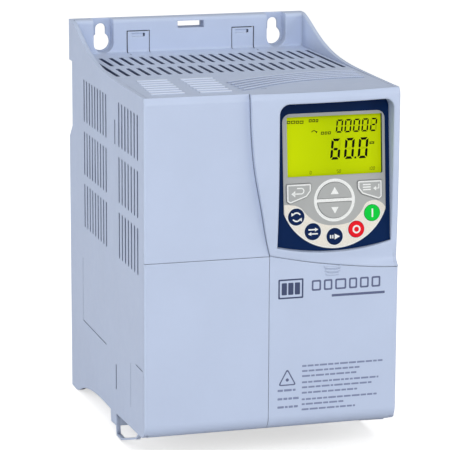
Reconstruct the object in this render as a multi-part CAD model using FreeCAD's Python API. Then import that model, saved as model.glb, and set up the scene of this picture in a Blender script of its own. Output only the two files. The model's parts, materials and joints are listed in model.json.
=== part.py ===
import FreeCAD, Part
import math
import os

# Wall-mounted variable frequency drive, in millimetres.
# +Z is up, +X is to the right of someone facing the keypad, and the front faces -Y.
# The back plane lies on the wall at y = 0. The origin is the centre of the four wall-fixing holes.
# Shared dimensions come first, then helpers, then one section for each group of pieces.

Vec = FreeCAD.Vector
FORWARD, BACK, RIGHT = (0, -1, 0), (0, 1, 0), (1, 0, 0)
SIDES = (-1, 1)                # left, right

# ---- driving dimensions ----------------------------------------------------------------------
WIDTH = 135.0
HALF = WIDTH / 2
WALL = 2.2                     # side wall thickness
SEAM = 0.2                     # visible gap between mouldings
HALF_SEAM = SEAM / 2
SEAT = 0.05                    # clearance between a part and the face it sits on
INNER = HALF - WALL            # inner faces of the side walls
ROOT = INNER + 0.5             # how far cross members run into the side walls
FIT = INNER - SEAM             # half width of mouldings that fit between the side walls
Z_TOP, Z_BOT = 103.3, -106.7
Y_FACE = -165.0                # front face of the flat panels
FACE_T = 2.5                   # thickness of the front mouldings
PANEL_BACK = Y_FACE + FACE_T
Z_DECK = 84.7                  # upper surface of the top deck
DECK_T = 2.4
RIB_H = 0.65                   # height of the straight ribs on the front deck
FIX_X, FIX_Z = 50.0, 97.5      # wall-fixing holes, from the origin
FIX_R = 2.9                    # clearance for M5
KEYHOLE_R = 5.0                # large end of the two upper keyholes
KEYHOLE_DROP = 7.2             # large end below the small end
POCKET_R, POCKET_Y = 5.6, 1.9  # pocket round a keyhole: half width, thickness left behind it
PLATE_T = 3.0                  # back plate thickness
FLANGE_Y = -9.5                # front plane of the top flange
FLANGE_ROOT_Y = -15.2          # front edge of the strip of deck that belongs to the flange
NOTCH_TOP, NOTCH_BOT, NOTCH_D = 80.6, 44.6, 7.0   # notch for a 35 mm rail across the back
RAMP_Z = 37.8                  # foot of the ramp below the notch
FLOOR_TOP = -88.4
BEAM_Y = -104.6                # front of the cross beam below the floor
BEAM_BOT = -100.6
FAN_Y0, FAN_Y1 = FLANGE_ROOT_Y - SEAM, -99.3      # fan cover, back and front edges
SEAM_Z = 1.1                   # seam between the upper and lower front panels, left half
SPLIT_X = -2.1                 # vertical seam between the two lower covers
COVER_BOT = -91.3              # lower edge of the front covers
TILT = 5.0                     # degrees the keypad plane leans back
PAD_Y, PAD_Z = -161.2, 3.0     # lower edge of the keypad plane
HINGE_Y, HINGE_Z = -155.2, -87.6                  # pivot of the two lower covers
HINGE_R = 1.5
HINGE_SPANS = [(-58.0, -52.0), (-14.0, -8.0), (6.0, 12.0), (54.0, 60.0)]   # x ranges
HEATSINK_FRONT = -66.0
FRAME_BACK, FRAME_FRONT = -128.3, -130.5          # plate of the inner frame
FRAME_X = 64.9                 # half width of the inner frame
DRIVE_SLOT = "slot"

# Screw positions as (x, z)
HEATSINK_FIX = [(side * 59.6, z) for side in SIDES for z in (-75.0, 26.0)]
MODULE_FIX = [(-27.0, -10), (27.0, -10)]
POWER_BOARD_FIX = [(-50.0, -61.0), (50.0, -79.0), (-50.0, 38.0), (50.0, 38.0)]
EARTH_FIX = [(-17.0, -95.6), (17.0, -95.6)]
FRAME_FIX = [(side * 61.2, z) for side in SIDES for z in (77.95, -56.5)]
CONTROL_FIX = [(0.5, 72.0), (58.5, 72.0), (0.5, -8.0), (58.5, -8.0)]
PANEL_FIX = [(-58.0, 70.0), (-58.0, 14.0), (-19.0, 70.0), (-19.0, 14.0)]
FASCIA_FIX = [(-6.3, 66.0), (-6.3, 42.0)]

os.makedirs("parts", exist_ok=True)


# ---- helpers: solids -------------------------------------------------------------------------
def box(x0, x1, y0, y1, z0, z1):
    # each pair of limits may be given in either order
    xs, ys, zs = sorted((x0, x1)), sorted((y0, y1)), sorted((z0, z1))
    return Part.makeBox(xs[1] - xs[0], ys[1] - ys[0], zs[1] - zs[0], Vec(xs[0], ys[0], zs[0]))


def block(x, z, half_x, half_z, y0, y1):
    return box(x - half_x, x + half_x, y0, y1, z - half_z, z + half_z)


def cyl(x, y, z, radius, height, axis=(0, 0, 1)):
    return Part.makeCylinder(radius, height, Vec(x, y, z), Vec(*axis))


def rods(points, y, radius, length, axis):
    # equal cylinders along Y, one at each (x, z)
    return [cyl(x, y, z, radius, length, axis) for x, z in points]


def profile_yz(points, x0, x1):
    wire = Part.makePolygon([Vec(x0, y, z) for y, z in points + points[:1]])
    return Part.Face(wire).extrude(Vec(x1 - x0, 0, 0))


def fuse(items):
    items = list(items)
    return items[0].multiFuse(items[1:]) if len(items) > 1 else items[0]


def cut(body, items):
    return body.cut(Part.makeCompound(list(items)))


def solid_of(shape):
    # the single solid inside a boolean's result, with coplanar faces merged
    merged = shape.removeSplitter()
    return merged.Solids[0] if len(merged.Solids) == 1 else merged


def save(name, shape):
    solids = shape.Solids
    out = solids[0] if len(solids) == 1 else Part.makeCompound(solids)
    out.exportStep("parts/%s.step" % name)


def slot_x(y, z0, z1, width, x0, x1):
    # an upright slot with round ends, cut along X
    r = width / 2
    return fuse([
        box(x0, x1, y - r, y + r, z0 + r, z1 - r),
        cyl(x0, y, z0 + r, r, x1 - x0, RIGHT),
        cyl(x0, y, z1 - r, r, x1 - x0, RIGHT),
    ])


def slot_z(x, front, rear, width, z0, z1):
    # a slot running front to back, with round ends, cut along Z
    r = width / 2
    y0, y1 = sorted((front, rear))
    return fuse([
        box(x - r, x + r, y0 + r, y1 - r, z0, z1),
        cyl(x, y0 + r, z0, r, z1 - z0),
        cyl(x, y1 - r, z0, r, z1 - z0),
    ])


def screw(at, axis, shank_r, length, head_r, head_h, drive="cross"):
    # a pan-head screw: at is the underside of the head, axis the direction it is driven in
    axis = Vec(*axis)
    top = at - axis * head_h
    body = fuse([
        Part.makeCylinder(shank_r, length, at, axis),
        Part.makeCylinder(head_r, head_h, top, axis),
    ])
    across = Vec(1, 0, 0)
    other = axis.cross(across)
    directions = [(across, other)]
    if drive != DRIVE_SLOT:
        directions.append((other, across))
    tools = []
    for along, wide in directions:
        u = along * head_r * 1.25 / 2
        w = wide * head_r * 0.26 / 2
        corners = [top + u + w, top - u + w, top - u - w, top + u - w, top + u + w]
        tools.append(Part.Face(Part.makePolygon(corners)).extrude(axis * head_h * 0.55))
    return cut(body, tools)


def screws(points, y, axis=BACK, **size):
    # equal screws along Y, one at each (x, z)
    return fuse([screw(Vec(x, y, z), axis, **size) for x, z in points])


# ---- helpers: outlines, drawn in the XY plane ------------------------------------------------
def closed(edges):
    return Part.Wire(Part.__sortEdges__(edges))


def line(start, end):
    return Part.makeLine(Vec(*start, 0), Vec(*end, 0))


def arc(start, middle, end):
    return Part.Arc(Vec(*start, 0), Vec(*middle, 0), Vec(*end, 0)).toShape()


def spline(points):
    # smooth edge through 3-D points
    curve = Part.BSplineCurve()
    curve.interpolate(points)
    return curve.toShape()


def curve(points):
    return spline([Vec(x, z, 0) for x, z in points])


def shift(points, dx, dz):
    return [(x + dx, z + dz) for x, z in points]


def band(first, second):
    # the area between two curves
    return closed([
        curve(first),
        line(first[-1], second[-1]),
        curve(second),
        line(second[0], first[0]),
    ])


def rounded(points, radii):
    # a closed outline with a rounded corner at each point
    corners = []
    for i, point in enumerate(points):
        p, before, after = (Vec(*q, 0) for q in (point, points[i - 1], points[(i + 1) % len(points)]))
        r = radii[i] if isinstance(radii, list) else radii
        u, w = (before - p).normalize(), (after - p).normalize()
        half_angle = u.getAngle(w) / 2
        # the arc never takes up more than half of a side
        reach = r / math.tan(half_angle)
        reach = min(reach, 0.49 * (before - p).Length, 0.49 * (after - p).Length)
        r = reach * math.tan(half_angle)
        middle = p + (u + w).normalize() * (r / math.sin(half_angle) - r)
        corners.append((p + u * reach, middle, p + w * reach))
    edges = []
    for i, (start, middle, end) in enumerate(corners):
        edges.append(Part.Arc(start, middle, end).toShape())
        edges.append(Part.makeLine(end, corners[(i + 1) % len(corners)][0]))
    return closed(edges)


def arched(x0, x1, low, bow, top, r):
    # straight sides from low upwards, rounded top corners, lower edge bowed down to bow
    near = r * (1 - math.sqrt(0.5))
    return closed([
        line((x0, low), (x0, top - r)),
        arc((x0, top - r), (x0 + near, top - near), (x0 + r, top)),
        line((x0 + r, top), (x1 - r, top)),
        arc((x1 - r, top), (x1 - near, top - near), (x1, top - r)),
        line((x1, top - r), (x1, low)),
        arc((x1, low), ((x0 + x1) / 2, bow), (x0, low)),
    ])


def circle(x, y, r):
    return Part.Wire([Part.makeCircle(r, Vec(x, y, 0))])


def grow(wire, distance):
    return wire.makeOffset2D(distance)


def slab(wire, z0, z1):
    base = wire.copy()
    base.translate(Vec(0, 0, z0))
    return Part.Face(base).extrude(Vec(0, 0, z1 - z0))


def prism(wire, y0, y1):
    # an outline drawn in (x, z), carried forward from y0 to y1
    m = FreeCAD.Matrix()
    m.A11, m.A12, m.A13 = 1, 0, 0
    m.A21, m.A22, m.A23 = 0, 0, -1
    m.A31, m.A32, m.A33 = 0, 1, 0
    return slab(wire, -y0, -y1).transformed(m, copy=True)


def pad(shape):
    # keypad coordinates (x right, y up the keypad, z out of it) to the drive's own
    s, c = math.sin(math.radians(TILT)), math.cos(math.radians(TILT))
    m = FreeCAD.Matrix()
    m.A11, m.A12, m.A13, m.A14 = 1, 0, 0, 0
    m.A21, m.A22, m.A23, m.A24 = 0, s, -c, PAD_Y
    m.A31, m.A32, m.A33, m.A34 = 0, c, s, PAD_Z
    return shape.transformed(m, copy=True)


def face_side_edges(shape, x, min_length=0):
    # upright edges of the flat front face at one side of the drive
    found = []
    for edge in shape.Edges:
        bounds = edge.BoundBox
        at_side = abs(bounds.XMin - x) < 0.01 and abs(bounds.XMax - x) < 0.01
        at_face = abs(bounds.YMin - Y_FACE) < 0.01 and bounds.YLength < 0.01
        if at_side and at_face and bounds.ZLength > min_length:
            found.append(edge)
    return found


# ---- bowed front surface of the keypad fascia ------------------------------------------------
# Left edge of the fascia, top to bottom, and the seam below it, left to right, as (x, z)
BOUND = [
    (-12.9, 84.7), (-12.85, 76.7), (-12.4, 66.5), (-11.7, 56.2), (-10.5, 45.9),
    (-8.7, 35.5), (-6.7, 25.1), (-4.5, 12.1), (-2.1, 1.6),
]
SEAM_CURVE = [
    (-2.1, 1.45), (6.4, -0.4), (14.4, -2.1), (30.6, -4.8), (41.4, -6.2), (52.3, -7.4), (67.5, -8.3),
]
# Bow across the fascia, as (x, y): near the top and near the seam
UPPER_BOW = [(-13, -167.6), (18, -168.8), (44, -167.0), (67.5, -162.9)]
LOWER_BOW = [(-13, -165.0), (18, -165.2), (44, -164.2), (67.5, -161.3)]
BEND_Z, BEND_H = 47.0, 49.0    # the upper bow holds above this height, then fades over this drop
ROLL_Z, ROLL_H, ROLL_Y = 81.2, 3.5, 1.7   # the top edge rolls back: start, height, amount


def lagrange(points, x):
    # polynomial through all the points
    total = 0.0
    for i, (xi, yi) in enumerate(points):
        term = yi
        for j, (xj, _) in enumerate(points):
            if i != j:
                term *= (x - xj) / (xi - xj)
        total += term
    return total


def smooth(t):
    t = max(0.0, min(1.0, t))
    return t * t * (3 - 2 * t)


def face_y(x, z):
    upper, lower = lagrange(UPPER_BOW, x), lagrange(LOWER_BOW, x)
    t = max(0.0, min(1.0, (BEND_Z - z) / BEND_H)) ** 2
    y = upper * (1 - t) + lower * t
    # fade into the flat covers round the seam
    fade_z = -2.0 - 0.1 * (x + 2)
    y += (Y_FACE - lower) * smooth((fade_z + 5.0 - z) / 5.5)
    if z > ROLL_Z:
        y += ROLL_Y * ((z - ROLL_Z) / ROLL_H) ** 2
    return y


GRID_X = [-16 + 3.0 * i for i in range(29)]
GRID_Z = [-11.0 + 2.3 * i for i in range(40)] + [80.2, 81.2, 82.1, 83.0, 83.9, 84.8, 85.8]
bowed_surface = Part.BSplineSurface()
bowed_surface.interpolate([[Vec(x, face_y(x, z), z) for z in GRID_Z] for x in GRID_X])
front_face = bowed_surface.toShape()

# everything from 12 in front of the surface to one seam behind the fascia
envelope = front_face.extrude(Vec(0, FACE_T + 12 + SEAM, 0))
envelope.translate(Vec(0, -12, 0))

# ---- rear housing: back plate, flange, side walls, floor -------------------------------------
# Side profile as (y, z): curved edges at the top and bottom, back to front
WING_TOP = [
    (-6.0, Z_TOP), (-11.5, 102.2), (-17.5, 100.2), (-29.0, 95.8), (-43.0, 91.3),
    (-57.0, 88.2), (-72.0, 86.3), (-88.0, 85.3), (-106.0, 84.9),
]
WING_BOT = [
    (-10.0, Z_BOT), (-18.0, -105.0), (-28.0, -101.2), (-40.0, -98.3),
    (-57.0, -96.0), (-76.0, -95.0), (-92.0, -94.8),
]
# the straight edges that join them, round the front and round the back
WING_FRONT = [
    WING_TOP[-1], (-130.0, Z_DECK), (PANEL_BACK + SEAM, Z_DECK), (PANEL_BACK + SEAM, -88.9),
    (-161.2, -89.9), (-159.4, -90.8), (-157.2, -91.25), (-134.2, -92.3), (-109.9, -93.6),
    (BEAM_Y, -93.8), (BEAM_Y, BEAM_BOT), (-93.1, -101.3), WING_BOT[-1],
]
WING_BACK = [
    WING_BOT[0], (0.0, Z_BOT), (0.0, RAMP_Z), (-NOTCH_D, NOTCH_BOT), (-NOTCH_D, NOTCH_TOP),
    (0.0, NOTCH_TOP), (0.0, Z_TOP), WING_TOP[0],
]
# Back plate, stepped forward behind the rail notch, as (y, z)
BACK_PLATE = [
    (0, Z_BOT), (0, RAMP_Z), (-NOTCH_D, NOTCH_BOT), (-NOTCH_D, NOTCH_TOP), (0, NOTCH_TOP),
    (0, Z_TOP - 1), (-PLATE_T, Z_TOP - 1), (-PLATE_T, NOTCH_TOP + PLATE_T),
    (-NOTCH_D - PLATE_T, NOTCH_TOP + PLATE_T), (-NOTCH_D - PLATE_T, NOTCH_BOT - 1.5),
    (-PLATE_T, RAMP_Z - 1.2), (-PLATE_T, Z_BOT),
]
# Top flange, meeting the deck in a small fillet, as (y, z)
FLANGE = [
    (0, 83.6), (0, Z_TOP), (-7.6, Z_TOP), (-9.0, Z_TOP - 0.6), (FLANGE_Y, Z_TOP - 1.8),
    (FLANGE_Y, Z_DECK + 1.3), (FLANGE_Y - 0.2, Z_DECK + 0.55), (FLANGE_Y - 0.6, Z_DECK + 0.15),
    (FLANGE_Y - 1.3, Z_DECK), (FLANGE_ROOT_Y, Z_DECK), (FLANGE_ROOT_Y, Z_DECK - 2.2),
    (-NOTCH_D - 2, 82.3),
]
# Centre line of the cable-tie loop under each side wall, as (y, z)
TIE_LOOP = [(-104.0, -99.8), (-105.2, -105.2), (-114.8, -104.9), (-146.6, -94.9), (-151.4, -91.2)]
TIE_HALF_T = 0.55
LEDGE = (79.9, 82.0)           # z range of the ledges below the deck
FRAME_POSTS = ((76.0, 79.9), (-60.5, -52.5))   # z ranges of the posts for the inner frame
VENT_ROWS = ((51.3, 74.8), (21.9, 46.3), (-7.5, 17.1))   # z ranges of the side vents
SIDE_VENTS = ((9, -35.5, 6.19), (7, -113.2, 6.35))       # count, first y, pitch
SIDE_SLOT_W = 2.7
SNAP_SLOTS = ((51.5, 64.3), (-80.2, -66.7))    # z ranges of the slots for the snap arms
FLOOR_SLOT_W = 3.2
TONGUE = (24.1, 36.3)          # x range of a latch tongue in the flange
TONGUE_TOP = 96.75


def side_wall(x0, x1):
    def edges_through(points):
        return [Part.makeLine(Vec(x0, *a), Vec(x0, *b)) for a, b in zip(points, points[1:])]

    edges = [spline([Vec(x0, y, z) for y, z in WING_TOP])]
    edges += edges_through(WING_FRONT)
    edges.append(spline([Vec(x0, y, z) for y, z in WING_BOT[::-1]]))
    edges += edges_through(WING_BACK)
    return Part.Face(closed(edges)).extrude(Vec(x1 - x0, 0, 0))


def tie_loop(side):
    links = []
    for a, b in zip(TIE_LOOP, TIE_LOOP[1:]):
        along = Vec(0, b[0] - a[0], b[1] - a[1]).normalize()
        n = Vec(0, -along.z, along.y) * TIE_HALF_T
        p0 = Vec(side * INNER, *a) - along * 0.3
        p1 = Vec(side * INNER, *b) + along * 0.3
        wire = Part.makePolygon([p0 + n, p1 + n, p1 - n, p0 - n, p0 + n])
        links.append(Part.Face(wire).extrude(Vec(side * WALL, 0, 0)))
    return links


def rear_body():
    adds = [side_wall(-HALF, -INNER), side_wall(INNER, HALF)]
    adds.append(profile_yz(BACK_PLATE, -ROOT, ROOT))
    adds.append(profile_yz(FLANGE, -ROOT, ROOT))
    # floor under the heatsink, and the hollow cross beam at its front
    adds.append(box(-ROOT, ROOT, -1, BEAM_Y, -90.6, FLOOR_TOP))
    adds.append(box(-ROOT, ROOT, -93.2, -95.0, -101.0, -89.0))
    adds.append(box(-ROOT, ROOT, -102.8, BEAM_Y, BEAM_BOT, -89.0))
    for side in SIDES:
        # ledges that carry the fan cover and the front deck
        adds.append(box(side * 63.4, side * ROOT, -20, -97.5, *LEDGE))
        adds.append(box(side * 63.4, side * ROOT, -101.5, -124.0, *LEDGE))
        for z_range in FRAME_POSTS:
            adds.append(box(side * 57.2, side * ROOT, BEAM_Y, -128.2, *z_range))
        # columns for the heatsink's screws, standing on the back plate
        adds += rods([p for p in HEATSINK_FIX if p[0] * side > 0], -2, 3.7, 57.8, FORWARD)
    # boss that houses the rail latch
    adds.append(box(-16.5, 16.5, -1, -9.0, -24.0, 40.0))
    adds.append(profile_yz([(-3, 36), (-3, 39), (-9.5, 45.5), (-9.5, 36)], -16.5, 16.5))
    # lip behind which the rail's upper edge hooks
    for side in SIDES:
        adds.append(box(side * 14, side * 46, -4.0, -5.4, NOTCH_TOP - 1.6, NOTCH_TOP + 1))
    for side in SIDES:
        adds += tie_loop(side)
    return fuse(adds)


def wall_fixing_cuts():
    cuts = []
    low = FIX_Z - KEYHOLE_DROP
    for side in SIDES:
        x = side * FIX_X
        # keyhole at the top, in a U-shaped pocket open upwards
        cuts.append(cyl(x, 1, FIX_Z, FIX_R, 30, FORWARD))
        cuts.append(cyl(x, 1, low, KEYHOLE_R, 30, FORWARD))
        cuts.append(box(x - FIX_R, x + FIX_R, 1, -29, low, FIX_Z))
        cuts.append(cyl(x, -POCKET_Y, low, POCKET_R, 20, FORWARD))
        cuts.append(box(x - POCKET_R, x + POCKET_R, -POCKET_Y, -20, low, Z_TOP + 2))
        # plain hole at the bottom
        cuts.append(cyl(x, 1, -FIX_Z, FIX_R, 10, FORWARD))
    return cuts


def flange_cuts():
    # window in the middle
    cuts = [box(-7.6, 7.6, 1, -20, 97.3, 101.2)]
    # lightening pockets in the back
    for x0, x1, z1 in ((-42.0, -10.0, 96.2), (10.0, 42.0, 96.2), (-7.6, 7.6, 94.8)):
        cuts.append(box(x0, x1, 1, -6.9, 84.2, z1))
    # latch tongues cut free on three sides
    x0, x1 = TONGUE
    for side in SIDES:
        cuts.append(box(side * (x0 - 0.4), side * x0, -6.0, -13.0, 84.0, TONGUE_TOP))
        cuts.append(box(side * x1, side * (x1 + 0.6), -6.0, -13.0, 84.0, TONGUE_TOP))
        cuts.append(box(side * x0, side * x1, -6.0, -20, TONGUE_TOP - 0.5, TONGUE_TOP))
    # a small catch window in each tongue: shallow part, then a deeper strip at its right
    for left, middle, right in ((-33.8, -27.4, -26.5), (25.9, 32.6, 33.6)):
        cuts.append(box(left, middle, -9.05, -20, 93.2, 95.2))
        cuts.append(box(middle, right, -7.6, -20, 93.4, 95.2))
    return cuts


def side_wall_cuts():
    cuts = []
    for side in SIDES:
        through = sorted((side * (INNER - 0.4), side * (HALF + 2)))
        for z0, z1 in VENT_ROWS:
            for count, first_y, pitch in SIDE_VENTS:
                for i in range(count):
                    cuts.append(slot_x(first_y - pitch * i, z0, z1, SIDE_SLOT_W, *through))
        for z0, z1 in SNAP_SLOTS:
            cuts.append(box(*through, -103.6, -105.6, z0, z1))
    # fine relief lines in the outer faces
    for side in SIDES:
        skin = (side * (HALF - 0.35), side * (HALF + 1))
        cuts.append(box(*skin, -29.6, -30.2, -25.6, -61.6))
        cuts.append(box(*skin, -29.6, -83.3, -61.0, -61.6))
        cuts.append(box(*skin, -135.2, -135.8, -57.6, -81.4))
        cuts.append(box(*skin, -146.9, -160.5, -55.2, -55.8))
    return cuts


def rear_housing():
    cuts = wall_fixing_cuts() + flange_cuts() + side_wall_cuts()
    # air inlet slots in the floor; the front row leaves the middle plain
    for i in range(-9, 10):
        cuts.append(slot_z(i * 6.0, -14, -57, FLOOR_SLOT_W, -95, -85))
    for i in range(-8, 9):
        if abs(i) > 1:
            cuts.append(slot_z(i * 6.8, -66, -89, FLOOR_SLOT_W, -91.5, -85))
    # groove for the rail latch, open at its lower end and into the notch
    cuts.append(box(-10.1, 10.1, 1, -3.05, -28.5, 46))
    cuts.append(box(-13.1, 13.1, -2.9, -5.9, -25, 46))
    # slot in the floor for the latch's tail
    cuts.append(box(-6.4, 6.4, -3.0, -6.1, -92, -87))
    # pilot holes for the heatsink, inner frame and earth screws
    cuts += rods(HEATSINK_FIX, -60, 1.95, 14, BACK)
    cuts += rods(FRAME_FIX, -128.4, 1.45, 16, BACK)
    cuts += rods(EARTH_FIX, -101, 2.05, 5, FORWARD)
    housing = cut(rear_body(), cuts)
    # the right side wall's front edge follows the back of the fascia
    trim = envelope.common(box(64.5, 67.9, -175, -150, SEAM_CURVE[-1][1], 85.4))
    return solid_of(housing.cut(trim))


save("rear_housing", rear_housing())

# ---- rail latch: slides down behind the back plate -------------------------------------------
LATCH_BACK, LATCH_FRONT = -3.15, -5.65


def rail_latch():
    nose = [(-3.4, 42.5), (-4.2, 46.2), (LATCH_FRONT, 46.2), (LATCH_FRONT, 42.5)]
    body = fuse([
        box(-12.8, 12.8, LATCH_BACK, LATCH_FRONT, -22.0, 42.6),
        profile_yz(nose, -9.5, 9.5),
        box(-9.8, 9.8, -1.2, -3.2, -22.0, -12.0),
        # long tail that passes through the floor and ends in a pull tab
        box(-6.0, 6.0, LATCH_BACK, LATCH_FRONT, -100.6, -21.0),
    ])
    windows = [box(-3.4, 3.4, 0, -10, -98.6, -94.8), box(-4.6, 4.6, 0, -10, 2.0, 22.0)]
    return solid_of(cut(body, windows))


save("din_rail_latch", rail_latch())

# ---- heatsink --------------------------------------------------------------------------------
HEATSINK_BASE = -60.0          # back of the base plate
HEATSINK_Z = (-84.0, 44.0)
FIN_PITCH, FIN_HALF_T, FIN_BACK = 6.0, 0.8, -13.0
HEATSINK_SEAT = HEATSINK_FRONT - SEAT
PILOT_Y = HEATSINK_FRONT - 0.1   # start of the pilot holes bored from the front


def heatsink():
    adds = [box(-55.5, 55.5, HEATSINK_BASE, HEATSINK_FRONT, *HEATSINK_Z)]
    # screw ears
    for x, z in HEATSINK_FIX:
        side = math.copysign(1, x)
        adds.append(box(side * 50, side * 63.6, HEATSINK_BASE, HEATSINK_FRONT, z - 5, z + 5))
    for i in range(-9, 10):
        x = i * FIN_PITCH
        adds.append(box(x - FIN_HALF_T, x + FIN_HALF_T, FIN_BACK, -61.0, *HEATSINK_Z))
    holes = rods(HEATSINK_FIX, -59, 2.2, 9, FORWARD)
    holes += rods(MODULE_FIX, PILOT_Y, 1.55, 12, BACK)
    holes += rods(POWER_BOARD_FIX, PILOT_Y, 1.55, 8, BACK)
    return solid_of(cut(fuse(adds), holes))


save("heatsink", heatsink())
save("heatsink_screws", screws(
    HEATSINK_FIX, HEATSINK_SEAT, shank_r=1.88, length=16, head_r=3.6, head_h=2.4))

# ---- power module, on the front of the heatsink ----------------------------------------------
MODULE_BASE_FRONT, MODULE_FRONT = -69.5, -77.5
PINS = [(-24 + 4.0 * i, z) for i in range(13) for z in (-26.0, 6.0)]   # (x, z)


def power_module():
    body = fuse([
        box(-33, 33, HEATSINK_SEAT, MODULE_BASE_FRONT, -32, 12),
        box(-31, 31, -69.0, MODULE_FRONT, -30, 10),
    ])
    upright = []
    for edge in body.Edges:
        bounds = edge.BoundBox
        if bounds.YLength > 7 and bounds.XLength < 0.1 and bounds.ZLength < 0.1:
            upright.append(edge)
    body = body.makeFillet(1.0, upright)
    holes = rods(MODULE_FIX, -60, 1.7, 30, FORWARD)
    holes += rods(MODULE_FIX, MODULE_BASE_FRONT, 3.6, 30, FORWARD)
    return solid_of(cut(body, holes))


save("power_module", power_module())
save("power_module_screws", screws(
    MODULE_FIX, MODULE_BASE_FRONT - SEAT, shank_r=1.47, length=13, head_r=2.9, head_h=2.0))
save("power_module_pins", Part.makeCompound(
    [block(x, z, 0.5, 0.3, MODULE_FRONT - SEAT, -84.62) for x, z in PINS]))

# ---- power board on its standoffs ------------------------------------------------------------
POWER_BACK, POWER_FRONT = -83.0, -84.6
POWER_SEAT = POWER_FRONT - SEAT
STANDOFF_L = HEATSINK_FRONT - POWER_BACK - 2 * SEAT
HEX_R = 3.1                    # standoff, centre to corner


def standoff(x, z):
    corners = []
    for k in range(7):
        a = math.radians(60 * k)
        corners.append(Vec(x + HEX_R * math.cos(a), HEATSINK_SEAT, z + HEX_R * math.sin(a)))
    body = Part.Face(Part.makePolygon(corners)).extrude(Vec(0, -STANDOFF_L, 0))
    stud = cyl(x, PILOT_Y, z, 1.47, 6, BACK)
    return fuse([body, stud]).cut(cyl(x, -83.5, z, 1.3, 9, BACK))


def power_board():
    board = box(-61.5, 61.5, POWER_BACK, POWER_FRONT, -85.5, 44.0)
    cuts = rods(POWER_BOARD_FIX, -82, 1.7, 4, FORWARD)
    cuts += [block(x, z, 0.6, 0.4, -82, -86) for x, z in PINS]
    # notched upper corners
    cuts += [box(side * 62.5, side * 56.5, -82, -86, 34.0, 45.0) for side in SIDES]
    return solid_of(cut(board, cuts))


save("board_standoffs", Part.makeCompound([standoff(x, z) for x, z in POWER_BOARD_FIX]))
save("power_board", power_board())
save("power_board_screws", screws(
    POWER_BOARD_FIX, POWER_SEAT, shank_r=1.25, length=8, head_r=2.7, head_h=1.9))

# ---- large components on the power board -----------------------------------------------------
CAP_R, CAP_L = 12.5, 38


def capacitor(x, z):
    can = cyl(x, POWER_SEAT, z, CAP_R, CAP_L, FORWARD)
    front_rim = []
    for edge in can.Edges:
        bounds = edge.BoundBox
        if abs(bounds.YMin - bounds.YMax) < 0.01 and bounds.YMin < -100:
            front_rim.append(edge)
    can = can.makeFillet(1.2, front_rim)
    groove = Part.makeTorus(12.9, 0.9, Vec(x, POWER_FRONT - 4.5, z), Vec(0, 1, 0))
    # cross scored in the front end
    score = [block(x, z, 8, 0.3, -122.2, -124), block(x, z, 0.3, 8, -122.2, -124)]
    return cut(can, [groove] + score)


def precharge_relay():
    relay = box(12, 28, POWER_SEAT, -101.0, -60, -36)
    return relay.makeFillet(0.8, [e for e in relay.Edges if e.BoundBox.YLength > 10])


save("dc_link_capacitors", Part.makeCompound(
    [capacitor(x, z) for x in (-44.0, -15.5) for z in (23.2, -2.6)]))
# interference-suppression choke: a wound ring on a carrier
save("filter_choke", fuse([
    Part.makeTorus(9.5, 4.2, Vec(36, -100.0, 22), Vec(0, 1, 0)),
    box(28, 44, POWER_SEAT, -97.0, 16, 28),
]))
# transformer of the switch-mode supply
save("supply_transformer", solid_of(fuse([
    box(24, 50, POWER_SEAT, -88.0, -26, 0),
    box(27, 47, -88.0, -104.0, -24, -2),
    box(24, 50, -91.0, -101.0, -20, -6),
])))
save("precharge_relay", precharge_relay())

# ---- power terminal block: screws facing forward, wires entering from below ------------------
WAYS, WAY_PITCH = 6, 9.0
BLOCK_X0 = -59.5
BLOCK_X1 = BLOCK_X0 + WAYS * WAY_PITCH
BLOCK_BOT, BLOCK_TOP = -85.6, -66.0
WAY_X = [BLOCK_X0 + WAY_PITCH * (i + 0.5) for i in range(WAYS)]
TERMINAL_Z = -73.0


def power_terminal_block():
    body = profile_yz([
        (POWER_SEAT, BLOCK_BOT), (POWER_SEAT, BLOCK_TOP), (-101.0, BLOCK_TOP),
        (-104.0, -69.0), (-104.0, BLOCK_BOT),
    ], BLOCK_X0, BLOCK_X1)
    cuts = []
    for x in WAY_X:
        cuts.append(cyl(x, -92.0, TERMINAL_Z, 3.2, 20, FORWARD))
        cuts.append(box(x - 3.4, x + 3.4, -92.0, -101.5, -86, -77.5))
    # grooves between the ways
    for i in range(1, WAYS):
        x = BLOCK_X0 + WAY_PITCH * i
        cuts.append(box(x - 0.35, x + 0.35, -102.6, -105, -86, -66))
    return solid_of(cut(body, cuts))


def terminal_clamp(x):
    outer = box(x - 3.2, x + 3.2, -92.1, -101.3, -84.6, -77.7)
    return outer.cut(box(x - 2.3, x + 2.3, -93.0, -100.2, -86, -77))


save("power_terminal_block", power_terminal_block())
save("power_terminal_screws", screws(
    [(x, TERMINAL_Z) for x in WAY_X], -94.6, shank_r=1.8, length=2.4, head_r=2.9, head_h=2.2))
save("power_terminal_clamps", Part.makeCompound([terminal_clamp(x) for x in WAY_X]))

# ---- earth plate on the cross beam -----------------------------------------------------------
EARTH_FRONT = -106.2
earth_plate = box(-24, 24, BEAM_Y - 0.1, EARTH_FRONT, -100.2, -91.2)
save("earth_plate", solid_of(cut(earth_plate, rods(EARTH_FIX, -100, 2.2, 10, FORWARD))))
save("earth_screws", screws(
    EARTH_FIX, EARTH_FRONT - SEAT, shank_r=1.97, length=7, head_r=3.7, head_h=2.6))

# ---- inner frame: carries the control electronics, screwed to the housing --------------------
CONTROL_BACK = -134.4          # back of the control board
FRAME_BOT, FRAME_STEP = -88.0, -60.0
HOOD_BACK = -106.0
SNAP_ARMS = ((52.0, 63.8), (-79.7, -67.2))     # z ranges
CUP_ROOT_Y, CUP_TOP, CUP_BOT = -149.0, -84.2, -88.9
FRAME_VENTS = ((22.0, 66.0), (-44.0, 0.0))     # z ranges
VENT_X0, VENT_PITCH, VENT_W = -52.0, 5.2, 2.8


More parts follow.
